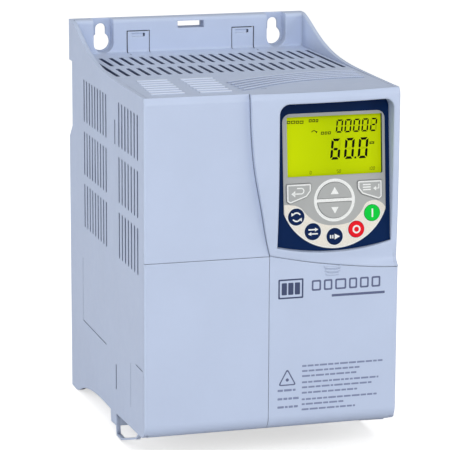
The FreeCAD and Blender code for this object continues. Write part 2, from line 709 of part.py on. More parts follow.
def frame_body():
    adds = [
        box(-FRAME_X, FRAME_X, FRAME_BACK, FRAME_FRONT, -60.8, 81.6),
        box(-1.6, FRAME_X, FRAME_BACK, FRAME_FRONT, FRAME_BOT, FRAME_STEP),
        box(-FRAME_X, -63.0, FRAME_BACK, FRAME_FRONT, FRAME_BOT, FRAME_STEP),
        # hood round the power terminals
        box(-FRAME_X, -0.2, HOOD_BACK, FRAME_FRONT, -52.2, -50.4),
        box(-1.8, -0.2, HOOD_BACK, FRAME_FRONT, FRAME_BOT, -50.4),
        # rail along the bottom, with webs forward to the hinge rail
        box(-FRAME_X, FRAME_X, FRAME_BACK + 1.0, FRAME_FRONT, FRAME_BOT, -85.6),
        box(-1.8, 1.6, FRAME_BACK, -153.0, FRAME_BOT, -85.6),
    ]
    for side in SIDES:
        adds.append(box(side * 62.6, side * FRAME_X, FRAME_BACK, -150.0, FRAME_BOT, -82.0))
    adds.append(box(-FRAME_X, FRAME_X, -147.2, -150.4, -88.9, -83.6))
    # posts for the control board
    adds += rods(CONTROL_FIX, FRAME_BACK, 3.0, FRAME_BACK - CONTROL_BACK - 0.03, FORWARD)
    # pillar that fills the gap behind the seam between the two lower covers
    adds.append(box(-3.2, -1.0, FRAME_FRONT + 0.1, -162.2, -85.0, -13.0))
    # snap arms that reach back into the slots in the side walls
    for side in SIDES:
        for z0, z1 in SNAP_ARMS:
            adds.append(box(side * 63.2, side * 65.0, -104.0, FRAME_BACK - 0.1, z0, z1))
            hook = [(-103.9, z0), (-105.2, z0), (-105.2, z1), (-103.9, z1)]
            adds.append(profile_yz(hook, *sorted((side * FRAME_X, side * 66.6))))
    return fuse(adds)


def inner_frame():
    # cups: a half-round seat behind each hinge barrel
    cup = [
        (CUP_ROOT_Y, CUP_BOT), (CUP_ROOT_Y, CUP_TOP), (HINGE_Y + 0.3, CUP_TOP),
        (HINGE_Y + 0.3, HINGE_Z + 1.0), (HINGE_Y + 1.55, HINGE_Z - 1.1), (HINGE_Y + 4.8, CUP_BOT),
    ]
    frame = fuse([frame_body()] + [profile_yz(cup, x0, x1) for x0, x1 in HINGE_SPANS])
    cuts = []
    for x0, x1 in HINGE_SPANS:
        cuts.append(cyl(x0 - 1, HINGE_Y, HINGE_Z, HINGE_R + 0.25, x1 - x0 + 2, RIGHT))
    for x0, x1 in HINGE_SPANS:
        cuts.append(box(x0 - 1, x1 + 1, HINGE_Y - 6, HINGE_Y + 0.25, -95, HINGE_Z + 0.2))
    # screw holes
    cuts += rods(CONTROL_FIX, -127, 1.2, 12, FORWARD)
    cuts += rods(PANEL_FIX + FASCIA_FIX, -127, 1.45, 5, FORWARD)
    cuts += rods(FRAME_FIX, -127, 1.75, 5, FORWARD)
    # ventilation openings
    for z0, z1 in FRAME_VENTS:
        for i in range(8):
            x = VENT_X0 + VENT_PITCH * i
            cuts.append(box(x, x + VENT_W, -127, -132, z0, z1))
    cuts.append(box(26.0, 44.0, -127, -132, -70.0, -52.0))
    return solid_of(cut(frame, cuts))


save("inner_frame", inner_frame())
save("inner_frame_screws", screws(
    FRAME_FIX, FRAME_FRONT - SEAT, shank_r=1.38, length=14, head_r=2.8, head_h=2.1))

# ---- control board ---------------------------------------------------------------------------
CONTROL_FRONT = CONTROL_BACK - 1.6
CONTROL_SEAT = CONTROL_FRONT - SEAT
control_board = box(-3.5, 62.0, CONTROL_BACK, CONTROL_FRONT, -12.0, 78.0)
control_holes = rods(CONTROL_FIX, CONTROL_BACK + 1, 1.6, 4, FORWARD)
save("control_board", solid_of(cut(control_board, control_holes)))
save("control_board_screws", screws(
    CONTROL_FIX, CONTROL_SEAT, shank_r=1.13, length=7, head_r=2.4, head_h=1.7))
save("control_board_components", Part.makeCompound([
    box(20, 36, CONTROL_SEAT, CONTROL_BACK - 3.3, 40, 56),
    box(44, 54, CONTROL_SEAT, CONTROL_BACK - 3.0, 20, 30),
    box(4, 12, CONTROL_SEAT, CONTROL_BACK - 4.6, 20, 34),
    cyl(10, CONTROL_SEAT, 52, 4.0, 7.0, FORWARD),
    cyl(10, CONTROL_SEAT, 62, 4.0, 7.0, FORWARD),
    box(48, 60, CONTROL_SEAT, CONTROL_BACK - 7, 44, 60),
]))

# ---- plug-in terminal module, behind the right-hand cover ------------------------------------
IO_X0, IO_X1, IO_Z0, IO_Z1 = 4.0, 61.5, -82.6, -16.0
IO_WALL = 1.8
IO_BOARD_BACK, IO_BOARD_FRONT = -141.0, -142.6
STRIP_WAYS, STRIP_PITCH = 14, 3.5
STRIP_X0 = IO_X0 + 4.0
STRIP_WAY_X = [STRIP_X0 + STRIP_PITCH * (i + 0.5) for i in range(STRIP_WAYS)]
STRIP_SCREW_Z = IO_Z0 + 10.6


def io_module_case():
    case = box(IO_X0, IO_X1, -137.0, -157.2, IO_Z0, IO_Z1)
    case = case.makeFillet(1.5, [e for e in case.Edges if e.BoundBox.YLength > 15])
    cuts = [
        # hollow, open at the back
        box(IO_X0 + IO_WALL, IO_X1 - IO_WALL, -136, -155.4, IO_Z0 + IO_WALL, IO_Z1 - IO_WALL),
        # lower opening for the terminal strip
        box(IO_X0 + 3.5, IO_X1 - 3.5, -130, -160, IO_Z0 - 1, IO_Z0 + 15.0),
    ]
    # slots through the front
    for i in range(8):
        x = IO_X0 + 8 + 5.4 * i
        cuts.append(box(x, x + 2.4, -150, -160, -46.0, -26.0))
    cuts.append(cyl(IO_X0 + 5.5, -150, IO_Z1 - 5.5, 1.7, 10, FORWARD))
    return solid_of(cut(case, cuts))


def control_terminal_strip():
    back = IO_BOARD_FRONT - SEAT
    body = profile_yz([
        (back, IO_Z0 + 3.0), (back, IO_Z0 + 14.0), (-153.0, IO_Z0 + 14.0),
        (-156.0, IO_Z0 + 11.0), (-156.0, IO_Z0 + 3.0),
    ], STRIP_X0, STRIP_X0 + STRIP_WAYS * STRIP_PITCH)
    cuts = []
    for x in STRIP_WAY_X:
        cuts.append(cyl(x, -148, STRIP_SCREW_Z, 1.35, 12, FORWARD))
        cuts.append(box(x - 1.2, x + 1.2, -146, -158, IO_Z0 + 4.2, IO_Z0 + 7.2))
    return solid_of(cut(body, cuts))


save("io_module_case", io_module_case())
save("io_module_board", box(
    IO_X0 + 2.0, IO_X1 - 2.0, IO_BOARD_BACK, IO_BOARD_FRONT, IO_Z0 + 2.0, IO_Z1 - 2.0))
save("io_module_header", box(20, 46, FRAME_FRONT - 0.1, IO_BOARD_BACK + SEAT, -36, -30))
save("control_terminal_strip", control_terminal_strip())
save("control_terminal_screws", screws(
    [(x, STRIP_SCREW_Z) for x in STRIP_WAY_X], -152.0,
    shank_r=0.8, length=3.2, head_r=1.25, head_h=1.0, drive=DRIVE_SLOT))

# ---- keypad fascia: bowed panel, proud of the left panel and fading into it at the seam ------
BOSS_BACK = FRAME_FRONT - 0.1
LIP_BACK, LIP_FRONT = -160.9, -162.25


def recess(margin):
    # outline of the keypad opening, grown by margin
    return arched(1.6 - margin, 64.1 + margin, 5.3 - margin, 1.5 - margin, 79.4 + margin,
                  5.4 + margin)


def keypad_fascia():
    left = shift(BOUND, HALF_SEAM, 0)
    bottom = [left[-1]] + shift(SEAM_CURVE, 0, HALF_SEAM)[1:]
    bottom[0] = (BOUND[-1][0] + HALF_SEAM, BOUND[-1][1])
    corner = (HALF, Z_DECK)
    outline = closed([
        curve(left), curve(bottom), line(bottom[-1], corner), line(corner, left[0]),
    ])
    skin = front_face.extrude(Vec(0, FACE_T, 0)).common(prism(outline, -150, -175))
    deep = front_face.extrude(Vec(0, 26, 0))
    # sleeve round the keypad opening
    sleeve = prism(recess(1.5), -150.5, -175).common(deep)
    sleeve = sleeve.common(box(-20, FIT, -150, -176, -15, 90))
    # wall along the stepped left edge
    left_wall = prism(band(left, shift(BOUND, HALF_SEAM + 1.8, 0)), LIP_BACK, -175)
    left_wall = left_wall.common(deep).common(box(-20, 20, -150, -176, -15, 82.1))
    # lips that reach behind the left panel and the lower cover
    left_band = band(shift(BOUND, -3.0, 0)[:-1], shift(BOUND, 1.0, 0)[:-1])
    left_lip = prism(left_band, LIP_BACK, LIP_FRONT).common(box(-20, 20, -150, -170, 14, 81.0))
    low_band = band(shift(SEAM_CURVE, 0, -2.6), shift(SEAM_CURVE, 0, 1.2))
    low_lip = prism(low_band, LIP_BACK, LIP_FRONT).common(box(2.0, 65.0, -150, -170, -15, 5))
    low_wall_band = band(shift(SEAM_CURVE, 0, 0.5), shift(SEAM_CURVE, 0, 1.4))
    low_wall = prism(low_wall_band, -161.1, -163.4).common(box(3.0, 64.0, -150, -175, -15, 5))
    # screw bosses, ending at the outer surface
    boss_limit = deep.fuse(box(-20, 20, -130, -160, 0, 84))
    bosses = [b.common(boss_limit) for b in rods(FASCIA_FIX, BOSS_BACK, 2.4, 36.2, FORWARD)]
    fascia = fuse([skin, sleeve, left_wall, left_lip, low_lip, low_wall] + bosses)
    holes = rods(FASCIA_FIX, -130, 1.25, 14, FORWARD)
    return solid_of(cut(fascia, [prism(recess(0), -149, -176)] + holes))


save("keypad_fascia", keypad_fascia())

# ---- upper front housing: ribbed front deck and plain upper left panel in one moulding -------
RIB_ROOT = Z_DECK - 0.2        # ribs start a little inside the deck
RIB_Y0, RIB_PITCH = -111.2, 6.95
CURVED_RIB_HALF_W, CURVED_RIB_H = 0.75, 0.95
# Rearmost and foremost curved ribs, as (x, y)
REAR_RIB = [
    (-13.5, -127.0), (-4.6, -121.6), (8.3, -115.0), (20.8, -110.2), (36.0, -106.6),
    (50.0, -105.8), (62.0, -106.6),
]
FORE_RIB = [
    (-12.5, -151.5), (-5.6, -146.8), (6.2, -139.2), (19.6, -132.2), (33.0, -128.2),
    (48.0, -126.6), (60.5, -127.0),
]


def straight_ribs():
    # two columns on the left of the deck
    ribs = []
    top = Z_DECK + RIB_H
    for i in range(7):
        y = RIB_Y0 - RIB_PITCH * i
        columns = ((-57.5 - 0.58 * i, -41.0 - 0.42 * i), (-34.3 - 0.22 * i, -17.0 - 0.33 * i))
        section = [(y - 1.1, RIB_ROOT), (y - 0.8, top), (y + 0.3, top), (y + 1.1, RIB_ROOT)]
        ribs += [profile_yz(section, x0, x1) for x0, x1 in columns]
    return ribs


def curved_ribs():
    # five ribs, evenly spread from the rearmost to the foremost
    ribs = []
    for k in range(5):
        t = k / 4.0
        middle = [(a[0] * (1 - t) + b[0] * t, a[1] * (1 - t) + b[1] * t)
                  for a, b in zip(REAR_RIB, FORE_RIB)]
        fore = [Vec(x, y - CURVED_RIB_HALF_W, RIB_ROOT) for x, y in middle]
        rear = [Vec(x, y + CURVED_RIB_HALF_W, RIB_ROOT) for x, y in middle]
        wire = closed([
            spline(fore),
            spline(rear[::-1]),
            Part.makeLine(fore[-1], rear[-1]),
            Part.makeLine(rear[0], fore[0]),
        ])
        ribs.append(Part.Face(wire).extrude(Vec(0, 0, CURVED_RIB_H)))
    return ribs


def upper_front_housing():
    edge = shift(BOUND, -HALF_SEAM, 0)
    low = SEAM_Z + HALF_SEAM
    outline = closed([
        curve(edge),
        line(edge[-1], (edge[-1][0], low)),
        line((edge[-1][0], low), (-HALF, low)),
        line((-HALF, low), (-HALF, Z_DECK)),
        line((-HALF, Z_DECK), edge[0]),
    ])
    panel = prism(outline, PANEL_BACK, Y_FACE)
    deck_z = (Z_DECK - DECK_T, Z_DECK)
    # the front edge of the deck follows the back of the fascia
    deck = fuse([
        box(-FIT, FIT, FAN_Y1 - SEAM, -162.6, *deck_z),
        box(12.0, FIT, -162.0, -168.0, *deck_z),
        box(-12.6, 12.5, -162.0, -168.0, *deck_z),
    ]).cut(envelope)
    # trim what the envelope does not reach
    deck = deck.cut(box(-12.8, 70, -168.9, -164.6, 80, 90))
    # lip behind the seam with the lower cover
    lip = box(-65.0, -5.0, -160.8, -162.3, SEAM_Z - 2.6, SEAM_Z + 3.0)
    lip = lip.fuse(box(-65.0, -5.0, -160.8, -162.7, SEAM_Z + 0.6, SEAM_Z + 3.0))
    stiffener = box(-64.9, -15.0, -161.0, -162.6, 44.0, 46.0)
    bosses = rods(PANEL_FIX, BOSS_BACK, 3.0, 32.2, FORWARD)
    housing = fuse([panel, deck, lip, stiffener] + straight_ribs() + curved_ribs() + bosses)
    # slope on the panel's top edge
    wedge = profile_yz([
        (Y_FACE - 0.01, 81.1), (Y_FACE + 1.35, 84.75), (Y_FACE - 2, 84.75), (Y_FACE - 2, 81.1),
    ], -70, -5)
    cuts = [wedge] + rods(PANEL_FIX, -130.0, 1.25, 14, FORWARD)
    # two small openings in the deck
    cuts += [box(-64.4, -61.8, -160.8, -161.9, 80, 90), box(-2.3, 0.5, -149.0, -150.1, 80, 90)]
    housing = solid_of(cut(housing, cuts))
    return housing.makeFillet(1.2, face_side_edges(housing, -HALF))


save("upper_front_housing", upper_front_housing())

# ---- lower covers: flat faces with rounded lower edges, each pivoting on two barrels ---------
COVER_R = 8.0                  # outer radius of the lower edge
COVER_TOP = 8                  # the shell is drawn up to here, then trimmed to its outline
OUTLINE_BOT = -95
RIM_BACK = -159.6              # rear edge of the upright ribs inside
GRIP_X, GRIP_R, GRIP_HALF_W = 31.7, 13.0, 0.45


def cover_shell(x0, x1):
    # section in (y, z): flat front, rounded lower edge, lip turned inwards
    centre_y, centre_z = Y_FACE + COVER_R, COVER_BOT + COVER_R
    inner_r = COVER_R - FACE_T
    s45 = math.sqrt(0.5)

    def at(y, z):
        return Vec(x0, y, z)

    def quarter(r):
        start, end = at(centre_y - r, centre_z), at(centre_y, centre_z - r)
        return Part.Arc(start, at(centre_y - r * s45, centre_z - r * s45), end).toShape()

    inner_y, inner_z = centre_y - inner_r, centre_z - inner_r
    section = closed([
        Part.makeLine(at(Y_FACE, COVER_TOP), at(Y_FACE, centre_z)),
        quarter(COVER_R),
        Part.makeLine(at(centre_y, COVER_BOT), at(centre_y, inner_z)),
        quarter(inner_r),
        Part.makeLine(at(inner_y, centre_z), at(inner_y, COVER_TOP)),
        Part.makeLine(at(inner_y, COVER_TOP), at(Y_FACE, COVER_TOP)),
    ])
    return Part.Face(section).extrude(Vec(x1 - x0, 0, 0))


def cover(x0, x1, side, outline, hinges):
    # behind its face the shell is narrower, to pass between the side walls
    shell = cover_shell(x0, x1)
    shell = shell.cut(box(side * FIT, side * 68, PANEL_BACK, -140, -95, 10))
    shell = shell.common(prism(outline, -140, -170))
    left, right = max(x0, -FIT) + 1.6, min(x1, FIT) - 1.6
    rib_front = PANEL_BACK - 0.2
    ribs = [
        box(left, left + 1.4, rib_front, RIM_BACK, -84.0, -12.0),
        box(right - 1.4, right, rib_front, RIM_BACK, -84.0, -12.0),
        box(left, right, rib_front, -160.4, -30.0, -28.8),
        box(left, right, rib_front, -160.4, -60.0, -58.8),
    ]
    # each barrel has an arm that joins it to the shell
    arm = [
        (HINGE_Y, HINGE_Z + 0.9), (HINGE_Y - 2.4, HINGE_Z - 0.2),
        (HINGE_Y - 2.4, HINGE_Z - 2.4), (HINGE_Y - 0.6, HINGE_Z - 1.2),
    ]
    arms = []
    for h0, h1 in hinges:
        arms.append(cyl(h0 + 0.3, HINGE_Y, HINGE_Z, HINGE_R, h1 - h0 - 0.6, RIGHT))
        arms.append(profile_yz(arm, h0 + 0.3, h1 - 0.3))
    return fuse([shell] + ribs + arms)


def power_terminal_cover():
    x1, top = SPLIT_X - HALF_SEAM, SEAM_Z - HALF_SEAM
    outline = closed([
        line((-HALF, top), (x1, top)),
        line((x1, top), (x1, OUTLINE_BOT)),
        line((x1, OUTLINE_BOT), (-HALF, OUTLINE_BOT)),
        line((-HALF, OUTLINE_BOT), (-HALF, top)),
    ])
    body = solid_of(cover(-HALF, x1, -1, outline, HINGE_SPANS[:2]))
    return body.makeFillet(1.2, face_side_edges(body, -HALF, 4))


def grip(k):
    # one of three shallow curved ridges, each lower and shorter than the last
    centre_z = -6.6 - 1.75 * k + GRIP_R
    r0, r1, angle = GRIP_R - GRIP_HALF_W, GRIP_R + GRIP_HALF_W, math.radians(20 - 2.5 * k)

    def at(r, a):
        return (GRIP_X + r * math.sin(a), centre_z - r * math.cos(a))

    wire = closed([
        arc(at(r1, -angle), at(r1, 0), at(r1, angle)),
        line(at(r1, angle), at(r0, angle)),
        arc(at(r0, angle), at(r0, 0), at(r0, -angle)),
        line(at(r0, -angle), at(r1, -angle)),
    ])
    return prism(wire, Y_FACE + 0.3, Y_FACE - 0.45)


def control_cover():
    x0 = SPLIT_X + HALF_SEAM
    top = shift(SEAM_CURVE, 0, -HALF_SEAM)
    top[0] = (x0, top[0][1])
    outline = closed([
        curve(top),
        line(top[-1], (HALF, OUTLINE_BOT)),
        line((HALF, OUTLINE_BOT), (x0, OUTLINE_BOT)),
        line((x0, OUTLINE_BOT), top[0]),
    ])
    body = cover(x0, HALF, 1, outline, HINGE_SPANS[2:])
    body = solid_of(fuse([body] + [grip(k) for k in range(3)]))
    return body.makeFillet(1.5, face_side_edges(body, HALF, 4))


save("power_terminal_cover", power_terminal_cover())
save("control_cover", control_cover())
# screws for the upper housing and the fascia, driven forwards from behind the inner frame
save("front_housing_screws", screws(
    PANEL_FIX + FASCIA_FIX, FRAME_BACK + SEAT, FORWARD,
    shank_r=1.2, length=12, head_r=2.6, head_h=1.9))

# ---- keypad, in its own coordinates: x right, y up the keypad, z out of it -------------------
RING_X, RING_Y, RING_R = 34.1, 24.4, 9.2       # disc split into the up and down keys
RING_HALF_GAP = 1.05
KEY_R = 4.2                    # round keys
KEY_GAP = 0.18                 # gap round each key
KEY_TOP = 0.95
LCD_OPENING = [(9.2, 37.2), (60.3, 37.2), (60.3, 67.7), (9.2, 67.7)]
KEYPAD_POSTS = [(6.4, 9.4), (60.6, 9.4), (10.5, 72.0), (57.5, 72.0)]
ROUND_KEYS = {
    "key_reverse": (13.5, 16.8),
    "key_local_remote": (22.2, 8.8),
    "key_jog": (33.9, 5.7),
    "key_stop": (45.6, 8.8),
    "key_run": (54.3, 16.8),
}
KEY_CENTRES = {
    "key_back": (14.5, 29.6),
    "key_menu": (53.7, 29.6),
    "key_up": (34.1, 29.2),
    "key_down": (34.1, 19.6),
    **ROUND_KEYS,
}
BACK_KEY = [(8.4, 33.7), (21.7, 33.7), (21.7, 29.7), (19.3, 26.7), (10.1, 23.5), (8.4, 24.9)]
MENU_KEY = [(46.5, 33.7), (59.8, 33.7), (59.8, 24.9), (58.1, 23.5), (48.9, 26.7), (46.5, 29.7)]
KEYPAD_BOARD = [
    (4.6, 8.6), (12.0, 5.0), (24.0, 3.0), (44.0, 3.0), (55.4, 5.0), (61.4, 6.9), (62.2, 8.4),
    (62.2, 14.0), (61.4, 18.0), (61.4, 74.3), (4.6, 74.3),
]


def half_ring(sign):
    # the part of the disc above (1) or below (-1) the gap
    reach = math.sqrt(RING_R ** 2 - RING_HALF_GAP ** 2)
    y = RING_Y + sign * RING_HALF_GAP
    left, right = (RING_X - reach, y), (RING_X + reach, y)
    return closed([line(left, right), arc(right, (RING_X, RING_Y + sign * RING_R), left)])


KEYS = {
    "key_back": rounded(BACK_KEY, [0.7, 0.9, 2.2, 1.6, 1.4, 0.8]),
    "key_menu": rounded(MENU_KEY, [0.9, 0.7, 0.8, 1.4, 1.6, 2.2]),
    "key_up": half_ring(1),
    "key_down": half_ring(-1),
}
for name, (x, y) in ROUND_KEYS.items():
    KEYS[name] = circle(x, y, KEY_R)
key_holes = [grow(wire, KEY_GAP) for wire in KEYS.values()]
lcd_outline = rounded(LCD_OPENING, 0.5)


def keypad_overlay():
    sheet = slab(arched(6.9, 61.7, 18.6, -0.4, 69.4, 4.2), 0.03, 0.43)
    cuts = [slab(wire, -1, 2) for wire in key_holes] + [slab(lcd_outline, -1, 2)]
    return pad(solid_of(cut(sheet, cuts)))


def keypad_frame():
    def tilted(z0, z1):
        return pad(box(-10, 80, -15, 95, z0, z1))

    outer = recess(-0.12)
    plate = tilted(-2.4, 0.0).common(prism(outer, -135, -175))
    ring = prism(outer, -135, -175).cut(prism(recess(-1.6), -134, -176))
    rim = tilted(-9.6, -2.3).common(ring)
    frame = fuse([plate, rim] + [pad(cyl(x, y, -6.05, 1.7, 4.0)) for x, y in KEYPAD_POSTS])
    cuts = [pad(slab(wire, -5, 2)) for wire in key_holes]
    cuts.append(pad(slab(grow(lcd_outline, 0.25), -5, 2)))
    cuts += [pad(cyl(x, y, -7, 0.85, 4.6)) for x, y in KEYPAD_POSTS]
    return solid_of(cut(frame, cuts))


def key(name, wire):
    # cap with a softened top edge, a retaining skirt and a plunger over the switch
    cap = slab(wire, -3.2, KEY_TOP)
    top_edges = []
    for edge in cap.Edges:
        bounds = edge.BoundBox
        if abs(bounds.ZMin - KEY_TOP) < 1e-4 and abs(bounds.ZMax - KEY_TOP) < 1e-4:
            top_edges.append(edge)
    cap = cap.makeFillet(0.28, top_edges)
    plunger = cyl(*KEY_CENTRES[name], -4.85, 1.7, 1.3)
    return pad(solid_of(fuse([cap, slab(grow(wire, 0.6), -3.7, -3.05), plunger])))


def key_switch(x, y):
    dome = Part.makeCone(2.6, 1.4, 0.55, Vec(x, y, -5.98))
    return fuse([dome, box(x - 2.8, x + 2.8, y - 2.8, y + 2.8, -6.06, -5.95)])


def keypad_board():
    board = slab(rounded(KEYPAD_BOARD, 0.8), -7.7, -6.1)
    return pad(solid_of(cut(board, [cyl(x, y, -9, 1.0, 4) for x, y in KEYPAD_POSTS])))


save("keypad_overlay", keypad_overlay())
save("keypad_frame", keypad_frame())
for name, wire in KEYS.items():
    save(name, key(name, wire))
save("lcd_glass", pad(box(7.4, 62.0, 35.6, 69.9, -4.1, -2.45)))
save("lcd_backlight", pad(box(8.0, 61.4, 36.2, 69.3, -6.0, -4.15)))
save("keypad_board", keypad_board())
save("keypad_board_screws", pad(fuse([
    screw(Vec(x, y, -7.75), (0, 0, 1), shank_r=0.8, length=4.6, head_r=1.6, head_h=1.1)
    for x, y in KEYPAD_POSTS])))
save("key_switches", pad(Part.makeCompound([key_switch(x, y) for x, y in KEY_CENTRES.values()])))
# header on the front of the control board, in the drive's own coordinates
save("board_link_header", box(24, 44, CONTROL_SEAT, -150.0, 30.5, 36.0))

# ---- fan cassette ----------------------------------------------------------------------------
FAN_SIZE, FAN_T = 60.0, 25.0
FAN_X, FAN_CY = 30.6, -59.0    # fan centres, at +/- x
FAN_Z0 = 56.5                  # underside of the fans
FAN_HOLE_OFFSET = 25
SLOT_PITCH, SLOT_W = 5.65, 2.4    # vent slots in the fan cover
FRONT_SKIRT = (-92.6, -94.0)   # y ranges of the skirts that hang from the cover
REAR_SKIRT = (-24.5, -25.9)
CLIP_Z0, CLIP_Z1 = 54.6, 56.3  # clip feet below the fans
ROTOR_Z0, ROTOR_H = FAN_Z0 + 3.4, 19.0
BLADES = 7


def fan_cover():
    adds = [box(-FIT, FIT, FAN_Y0, FAN_Y1, Z_DECK - DECK_T, Z_DECK)]
    adds.append(box(-58, 58, *FRONT_SKIRT, 58.0, 82.4))
    adds.append(box(-58, 58, *REAR_SKIRT, 58.0, 82.4))
    for x in (-42.0, 42.0, -18.0, 18.0):
        adds.append(box(x - 4, x + 4, *FRONT_SKIRT, CLIP_Z0, 58.1))
        adds.append(box(x - 4, x + 4, -86.5, FRONT_SKIRT[1], CLIP_Z0, CLIP_Z1))
        adds.append(box(x - 4, x + 4, *REAR_SKIRT, CLIP_Z0, 58.1))
        adds.append(box(x - 4, x + 4, REAR_SKIRT[0], -31.5, CLIP_Z0, CLIP_Z1))
    cuts = []
    for k in range(-10, 11):
        cuts.append(slot_z(SLOT_PITCH * k, -27.0, -56.5, SLOT_W, 82, 86))
        cuts.append(slot_z(SLOT_PITCH * k, -65.4, -92.2, SLOT_W, 82, 86))
    for side in SIDES:
        cuts.append(slot_z(side * 62.1, -26.5, -92.2, SLOT_W, 82, 86))
        # short slit in the back edge
        cuts.append(box(side * 36.3, side * 36.85, -15, -19.5, 82, 86))
    return solid_of(cut(fuse(adds), cuts))


def fan_frame(x):
    half = FAN_SIZE / 2
    frame = box(x - half, x + half, FAN_CY - half, FAN_CY + half, FAN_Z0, FAN_Z0 + FAN_T)
    frame = frame.makeFillet(3.0, [e for e in frame.Edges if e.BoundBox.ZLength > 20])
    bores = [cyl(x, FAN_CY, FAN_Z0 - 1, 28.4, FAN_T + 2)]
    for i in (-1, 1):
        for j in (-1, 1):
            hole_x, hole_y = x + i * FAN_HOLE_OFFSET, FAN_CY + j * FAN_HOLE_OFFSET
            bores.append(cyl(hole_x, hole_y, FAN_Z0 - 1, 2.2, FAN_T + 2))
    frame = cut(frame, bores)
    # hub disc, four struts and the bearing tube
    hub = [cyl(x, FAN_CY, FAN_Z0, 13.5, 3.0)]
    for angle in (35, 125, 215, 305):
        strut = box(x, x + 29.2, FAN_CY - 1.6, FAN_CY + 1.6, FAN_Z0, FAN_Z0 + 2.6)
        strut.rotate(Vec(x, FAN_CY, 0), Vec(0, 0, 1), angle)
        hub.append(strut)
    hub.append(cyl(x, FAN_CY, FAN_Z0 + 2, 4.2, 12.0))
    frame = fuse([frame] + hub).cut(cyl(x, FAN_CY, FAN_Z0 + 0.8, 1.56, 20))
    return frame.removeSplitter().Solids[0]


def fan_rotor(x):
    hub = cyl(x, FAN_CY, ROTOR_Z0, 14.0, ROTOR_H)
    top = [e for e in hub.Edges if abs(e.BoundBox.ZMin - ROTOR_Z0 - ROTOR_H) < 0.01]
    hub = hub.makeFillet(1.2, top)
    # cup, open below
    hub = hub.cut(cyl(x, FAN_CY, ROTOR_Z0 - 1, 12.6, 18.5))
    shaft = cyl(x, FAN_CY, FAN_Z0 + 1.2, 1.5, 21.0)
    # pitched plates, trimmed to the ring between the hub and the bore
    ring = cyl(x, FAN_CY, ROTOR_Z0, 27.4, ROTOR_H).cut(cyl(x, FAN_CY, ROTOR_Z0 - 1, 13.4, 22))
    blades = []
    for i in range(BLADES):
        blade = Part.makeBox(15.0, 17.0, 1.3, Vec(13.2, -8.5, -0.65))
        blade.rotate(Vec(0, 0, 0), Vec(1, 0, 0), 38)
        blade.rotate(Vec(0, 0, 0), Vec(0, 0, 1), i * 360 / BLADES)
        blade.translate(Vec(x, FAN_CY, ROTOR_Z0 + ROTOR_H / 2))
        blades.append(blade.common(ring))
    return solid_of(fuse([hub, shaft] + blades))


def fan_lead(x):
    # a round lead ending in its plug
    path = [Vec(x, -90.05, 67.0), Vec(x, -90.3, 62.0), Vec(x, -90.6, 57.0), Vec(x, -90.4, 51.5)]
    centre_line = Part.BSplineCurve()
    centre_line.interpolate(path)
    section = Part.Wire([Part.makeCircle(0.9, path[0], centre_line.tangent(0)[0])])
    lead = Part.Wire([centre_line.toShape()]).makePipeShell([section], True, True)
    return fuse([lead, box(x - 3.2, x + 3.2, -88.2, -92.4, 44.5, 52.5)])


save("fan_cover", fan_cover())
save("fan_frames", Part.makeCompound([fan_frame(side * FAN_X) for side in SIDES]))
save("fan_rotor_left", fan_rotor(-FAN_X))
save("fan_rotor_right", fan_rotor(FAN_X))
save("fan_leads", Part.makeCompound([fan_lead(side * FAN_X) for side in SIDES]))
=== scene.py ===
# A box-shaped drive standing upright: its front with the keypad looks towards -Y, X runs to the
# right as seen from the front, and Z is up, with the vent slots and two fans towards the top.
import json
import math
import random

